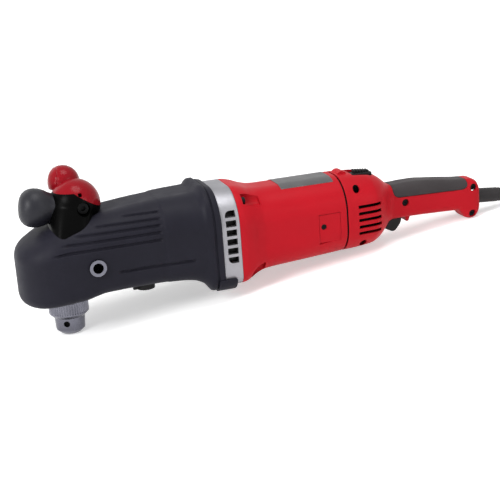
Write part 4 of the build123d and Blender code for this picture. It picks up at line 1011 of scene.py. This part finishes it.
def handleHalf(shape, sign):
    # rows close up at the front rim, the pad's ends and the heel
    low, high = shape["padX"]
    hair, _, corner, straight = shape["padRows"]
    xs = shape["frontRows"] + steps(*shape["capRows"]) + steps(shape["neckStart"], low - hair, 16)
    xs += steps(low, low + corner, 9) + steps(low + straight, high - straight, 24) + steps(high - corner, high, 9)
    xs += [high + hair] + shape["heelRows"]
    insets = shape["rimIn"] + [0.0] * (len(xs) - 4) + [shape["heelIn"]]
    ts = steps(0.0, 0.497, 22) + steps(0.5, 1.0, 26)

    def halfPoint(k, t):
        out, z, angle = gripOutline(xs[k], t, insets[k])
        if low <= xs[k] <= high and t < 0.5:
            out -= shape["padDepth"] * cos(angle)
            z -= shape["padDepth"] * sin(angle)
        return xs[k], sign * max(out, shape["seam"]), z

    bm = gridSkin(range(len(xs)), ts, halfPoint)
    turnTowards(bm, Vector((0, sign, 0)))
    return thicken(bm, shape["wall"])


def makeHandleShell(shape, side, sign):
    extras, tools = bmesh.new(), bmesh.new()
    x, z, radius, reach = shape["bump"]
    addRod(extras, (x, sign * shape["seam"], z), (x, sign * reach, z), radius)
    addPrism(extras, shape["guard"], [0.0] * 4, sign * shape["seam"], sign * shape["guardHalf"])
    vents = shape["vents"]
    for k in range(vents["count"]):
        z = vents["top"] - vents["pitch"] * k
        addBlock(tools, (vents["x"][0], sign * vents["inner"], z - vents["tall"] / 2),
                (vents["x"][1], sign * beyond, z + vents["tall"] / 2), vents["edge"])
    if side == "Near":
        for x, z, seat in shape["screws"]:
            addRod(tools, (x, -seat, z), (x, -beyond, z), shape["screwRadius"])
    for x0, x1, half, z0, z1, edge in shape["pockets"]:
        addBlock(tools, (x0, -half, z0), (x1, half, z1), edge)
    start, end, radius = shape["reliefCut"]
    addRod(tools, relief(start), relief(end), radius, sides=48)
    bm = carve(carve(handleHalf(shape, sign), extras, "UNION"), tools)
    finishPiece(bm, "handle" + side, "mouldedRed", "handle_shell_" + side.lower())


def makePad(shape):
    low, high = shape["padX"]
    rim = [shape["padGap"] + more for more in (0.0, 0.15, 0.5)]
    _, lip, corner, straight = shape["padRows"]
    xs = [low + gap for gap in rim] + steps(low + lip, low + corner, 8) + steps(low + straight, high - straight, 28)
    xs += steps(high - corner, high - lip, 8) + [high - gap for gap in reversed(rim)]
    lifts = [-1.0, -0.35, 0.05] + [0.25] * (len(xs) - 6) + [0.05, -0.35, -1.0]
    edgeLift = {0.484: 0.1, 0.489: -0.25, 0.492: -0.9}
    half = steps(0.0, 0.476, 24) + list(edgeLift)
    loop = [(-1, t) for t in reversed(half)] + [(1, t) for t in half][1:]

    def padPoint(k, stop):
        sign, t = stop
        out, z, angle = gripOutline(xs[k], t)
        lift = min(lifts[k], edgeLift.get(t, 1.0))
        return xs[k], sign * (out + lift * cos(angle)), z + lift * sin(angle)

    bm = gridSkin(range(len(xs)), loop, padPoint)
    turnTowards(bm, Vector((0, 0, 1)))
    finishPiece(thicken(bm, shape["padWall"]), "palmPad", "gripRubber", "grip_pad")


makeHandleShell(handleShape, "Near", -1)
makeHandleShell(handleShape, "Far", 1)
# black lining behind the cap's vents: painted shade
makeSlotShade("ventSlotShade", handleShape, "shadowBlack")
makePad(handleShape)


# strain relief, trigger with its spring, and reversing lever

reliefShape = {
    "profile": [(-5, 0), (-5, 6.2), (0.3, 6.2), (0.3, 9), (0.9, 9.2), (2, 9.2), (12, 9.1), (24, 8.9),
            (29, 8.8), (30, 7.9), (31.3, 7.8), (32.3, 8.6), (34, 8.2), (35, 7.2), (36.3, 7.1), (37.3, 7.7),
            (39, 7.3), (40, 6.5), (41.3, 6.4), (42.3, 6.8), (45.2, 6.3), (46, 5.9), (46, 0)],
}
triggerShape = {
    "root": 198.9, "half": 6.5, "edge": 1.2, "pin": (4, -14.5, 20, 2.05),
    "outline": [(-6, -16.5), (-2.5, -13.2), (2, -10.5), (19, -10.5), (22.3, -13.5), (22.6, -23.5), (20, -29.5),
            (13.5, -36.6), (9.5, -37), (1, -32.5), (-4.5, -29.5), (-6, -27)],
    "rounds": [1, 0, 1.4, 1.4, 1.4, 3, 3, 1.8, 1.8, 2, 1, 1],
}
springShape = {"x": 211.4, "ends": (-10.4, -3.3), "radius": 2.8, "wire": 0.4, "turns": 4.5, "steps": 99, "keep": 0.62}
leverShape = {
    "pivot": 162.9, "half": 5.5, "base": (-3.5, 22, 37.5, 42), "grip": (-0.5, 19.5, 46.6, 44.6), "ribs": 6,
    "ribShare": 0.72, "ribIn": (1, 1.2), "edges": (0.9, 0.7), "pin": (32.5, 38.1, 3),
}


def makeRelief(shape):
    bm = turned(shape["profile"], relief(0), relief(1) - relief(0))
    finishPiece(bm, "cordRelief", "cordRubber", "strain_relief", sharp=30.0)


def makeTrigger(shape):
    outline = [(shape["root"] + x, z) for x, z in shape["outline"]]
    bm = built(addPrism, outline, shape["rounds"], -shape["half"], shape["half"], shape["edge"])
    x, z, reach, radius = shape["pin"]
    x += shape["root"]
    bm = carve(bm, built(addRod, (x, -reach, z), (x, reach, z), radius))
    finishPiece(bm, "squeezeTrigger", "mouldedBlack", "trigger", "trigger")


def makeSpring(shape):
    # one ring of wire wound up the trigger's spring, which shortens as the trigger is squeezed
    low, high = shape["ends"]
    bm = bmesh.new()
    ring = Matrix.Translation((shape["radius"], 0, 0)) @ Matrix.Rotation(quarter, 4, "X")
    ops.create_circle(bm, segments=10, radius=shape["wire"], matrix=ring)
    rise = (high - low - 2 * shape["wire"]) / shape["steps"]
    ops.spin(bm, geom=bm.verts[:] + bm.edges[:], cent=(0, 0, 0), dvec=(0, 0, rise), axis=(0, 0, 1),
            angle=tau * shape["turns"], steps=shape["steps"])
    capEnds(bm)
    ops.translate(bm, vec=(shape["x"], 0, low + shape["wire"]), verts=bm.verts)
    spring = finishPiece(bm, "triggerSpring", "brightSteel", "trigger_spring", sharp=40.0)
    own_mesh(spring)


def makeLever(shape):
    x0, x1, z0, z1 = shape["base"]
    front, rear, frontTop, rearTop = shape["grip"]
    pivot, half = shape["pivot"], shape["half"]
    side, sink = shape["ribIn"]
    bm = built(addBlock, (pivot + x0, -half, z0), (pivot + x1, half, z1), shape["edges"][0])
    step = (rear - front) / shape["ribs"]
    for k in range(shape["ribs"]):
        start = pivot + front + step * k
        top = between(frontTop, rearTop, k / (shape["ribs"] - 1))
        addBlock(bm, (start, side - half, z1 - sink), (start + step * shape["ribShare"], half - side, top),
                shape["edges"][1])
    low, high, radius = shape["pin"]
    addRod(bm, (pivot, 0, low), (pivot, 0, high), radius)
    finishPiece(bm, "reverseSlide", "mouldedBlack", "reversing_lever", "reversing_lever")


makeRelief(reliefShape)
makeTrigger(triggerShape)
makeSpring(springShape)
makeLever(leverShape)


# front handle: black saddle and bulb, red dome and knob

frontShape = {
    "ball": (-175, 0, 55), "ballRadius": 29, "moulds": ((1.1, 6), (0.9, 8)), "bootGap": 0.2,
    "skirtFoot": (-189, 22, 22, 47.5), "skirtTop": (-178, 60, 26, 26),  # x, z and radii
    "skirtSquare": (4.6, 2), "skirtRows": (-0.15, 1, 23),
    "bulbRoot": (-181.6, 0, 50.8), "bulbLean": 9,
    "bulb": [(0, 0), (0, 17), (14, 16.6), (20, 16.6), (25, 17.9), (30, 20.2), (36, 21.8),
            (41, 22), (46, 21.3), (50.5, 19.2), (54, 15.6), (56, 11.2), (56.9, 6), (57, 0)],
    "knob": (-182.8, 18.6, 77.8), "knobCore": 16.6, "neck": (17.5, 15),
    "knobProfile": [(-19, 0), (-18.4, 4.8), (-16.4, 9.6), (-13.2, 13.7), (-8.8, 16.9), (-3.6, 18.7), (1.2, 19),
            (5.4, 18.3), (8.2, 17.2), (8.9, 16.7), (9.2, 16.2), (9.8, 16.1), (10.2, 16.3), (11.6, 15.3),
            (14.2, 12.2), (16, 8.6), (17.1, 4.4), (17.4, 0)],
    "breakNormal": (0.579, -0.091, 0.811), "breakOut": 14,  # the sloping plane under the red part
    "slope": ((-120, -90, 0), (120, 90, 120)), "level": ((-260, -90, 72), (-60, 90, 140)),
    "behind": ((-204, -90, 0), (-60, 90, 135)),
    "bolt": (-170, 54, 16, 7.8),  # x, z, seat and pocket radius of the cross bolt
    "peep": ((-171.9, -24.5, 70.2), 2.6, (-6, 9)),  # place, radius and depths of the small hole in the dome
}


def addSkirt(bm, shape):
    def skirtPoint(angle, f):
        # squarer towards the foot
        x, z, long, wide = (between(foot, top, f) for foot, top in zip(shape["skirtFoot"], shape["skirtTop"]))
        along, across = squared(angle, 2 / between(*shape["skirtSquare"], f))
        return x + long * along, wide * across, z

    addMade(bm, gridSkin(steps(0.0, tau, 72), steps(*shape["skirtRows"]), skirtPoint, closed=True))


def redZone(shape):
    # above a sloping plane or above a level, behind the bulb
    normal = Vector(shape["breakNormal"]).normalized()
    along = (Vector((1, 0, 0)) - normal * normal.x).normalized()
    turn = Matrix((along, normal.cross(along), normal)).transposed().to_4x4()
    root = Vector(shape["ball"]) + normal * shape["breakOut"]
    slope, level, behind = (built(addBlock, *shape[key]) for key in ("slope", "level", "behind"))
    ops.transform(slope, matrix=Matrix.Translation(root) @ turn, verts=slope.verts)
    return carve(carve(slope, level, "UNION"), behind, "INTERSECT")


def boltPockets(shape):
    x, z, seat, radius = shape["bolt"]
    pockets = built(addRodPair, x, z, seat, beyond, radius, 40)
    spot, radius, depths = shape["peep"]
    inward = (Vector(shape["ball"]) - Vector(spot)).normalized()
    start, end = (Vector(spot) + inward * depth for depth in depths)
    addRod(pockets, start, end, radius, sides=24)
    return pockets


def makeFrontHandle(shape):
    lean = radians(shape["bulbLean"])
    aim = Vector((-cos(lean), 0, sin(lean)))
    black = built(addBall, shape["ball"], shape["ballRadius"])
    addSkirt(black, shape)
    black = mould(black, *shape["moulds"][0])
    bulb = carve(turned(shape["bulb"], shape["bulbRoot"], aim, 64), black.copy())
    boot = bootForm(outlineStops, shape["bootGap"], closed=True)
    bulb = carve(bulb, boot.copy())
    for tool in (boltPockets(shape), redZone(shape), boot):
        black = carve(black, tool)
    # the saddle is near pure black: its own black plus painted shade
    finishPiece(black, "frontSaddle", "glossBlackAndShade", "front_handle_grip", sharp=42.0)
    finishPiece(bulb, "frontBulb", "bulbRubber", sharp=42.0)
    red = built(addBall, shape["ball"], shape["ballRadius"])
    addRod(red, shape["ball"], shape["knob"], *shape["neck"], sides=64)
    addBall(red, shape["knob"], shape["knobCore"])
    red = carve(mould(red, *shape["moulds"][1]), turned(shape["knobProfile"], shape["knob"], aim, 64), "UNION")
    red = carve(carve(red, boltPockets(shape)), redZone(shape), "INTERSECT")
    finishPiece(red, "frontCrown", "polishedRed", "front_handle_core", sharp=42.0)


makeFrontHandle(frontShape)


# chuck sleeve with its knurl and key teeth, and black linings that paint the shade in the bores of the side bushings
# and key holes

sleeveShape = {
    "radius": 23, "inner": 18.75, "top": -54.2, "low": -73.2, "chamfer": 4,
    "flutes": 48, "fluteDepth": 0.6, "fluteSpan": (-55.8, -67.8), "teeth": 24, "notch": (4.5, 1.3, 1.7),
    "notchIn": 1.2, "notchUp": 0.6, "groove": (-68.2, -62.2, 21.22),  # the groove holds the nut
}
boreShape = {
    "bushing": (39.4, 42.5, 5.9),
    "keyHoles": {"z": -79.7, "turns": (8, 128, 248), "span": (9.6, 14.2), "radius": 3.6},
}


def makeSleeve(shape):
    high, low = shape["fluteSpan"]
    rim, bottom, radius, inner = (shape[key] for key in ("top", "low", "radius", "inner"))
    profile = [(inner, rim), (radius - 1, rim), (radius - 0.3, rim - 0.3)]
    levels = [rim - 1, high, high - 0.5, *steps(high - 1.5, low + 1.5, 4), low + 0.5, low, bottom + shape["chamfer"]]
    profile += [(radius, z) for z in levels] + [(radius - shape["chamfer"], bottom), (inner, bottom), (inner, rim)]
    columns = shape["flutes"] * 8

    def sleevePoint(k, spot):
        out, z = spot
        angle = tau * k / columns
        if low < z < high and out == radius:
            out -= shape["fluteDepth"] * max(0.0, sin(angle * shape["flutes"])) ** 0.7
        return spindleX + out * cos(angle), out * sin(angle), z

    tools = bmesh.new()
    half = Vector(shape["notch"])
    seat = Matrix.Translation((radius - shape["notchIn"], 0, bottom + shape["notchUp"]))
    seat @= Matrix.Rotation(-quarter / 2, 4, "Y")
    for k in range(shape["teeth"]):
        notch = built(addBlock, -half, half)
        spin = Matrix.Translation((spindleX, 0, 0)) @ Matrix.Rotation(tau * k / shape["teeth"], 4, "Z")
        ops.transform(notch, matrix=spin @ seat, verts=notch.verts)
        addMade(tools, notch)
    bm = carve(gridSkin(range(columns + 1), profile, sleevePoint), tools)
    start, end, out = shape["groove"]
    bm = carve(bm, built(addRod, (spindleX, 0, start), (spindleX, 0, end), out, sides=96))
    finishPiece(bm, "keyedSleeve", "brightSteel", "chuck_sleeve", "chuck_sleeve", 25.0)


def makeBoreShade(shape):
    # black linings in the bushing bores and key holes: painted shade inside them
    bm = built(addRodPair, *bootShape["bushing"], *shape["bushing"])
    finishPiece(bm, "bushingBoreShade", "shadowBlack")
    holes = shape["keyHoles"]
    bm = bmesh.new()
    for turn in map(radians, holes["turns"]):
        start, end = ((spindleX + out * cos(turn), out * sin(turn), holes["z"]) for out in holes["span"])
        addRod(bm, start, end, holes["radius"], sides=24)
    finishPiece(bm, "keyHoleShade", "shadowBlack", body="spindle")


makeSleeve(sleeveShape)
makeBoreShade(boreShape)
nodes["front_handle_bolts"].material_slots[0].material = finishes["blackenedSteel"]
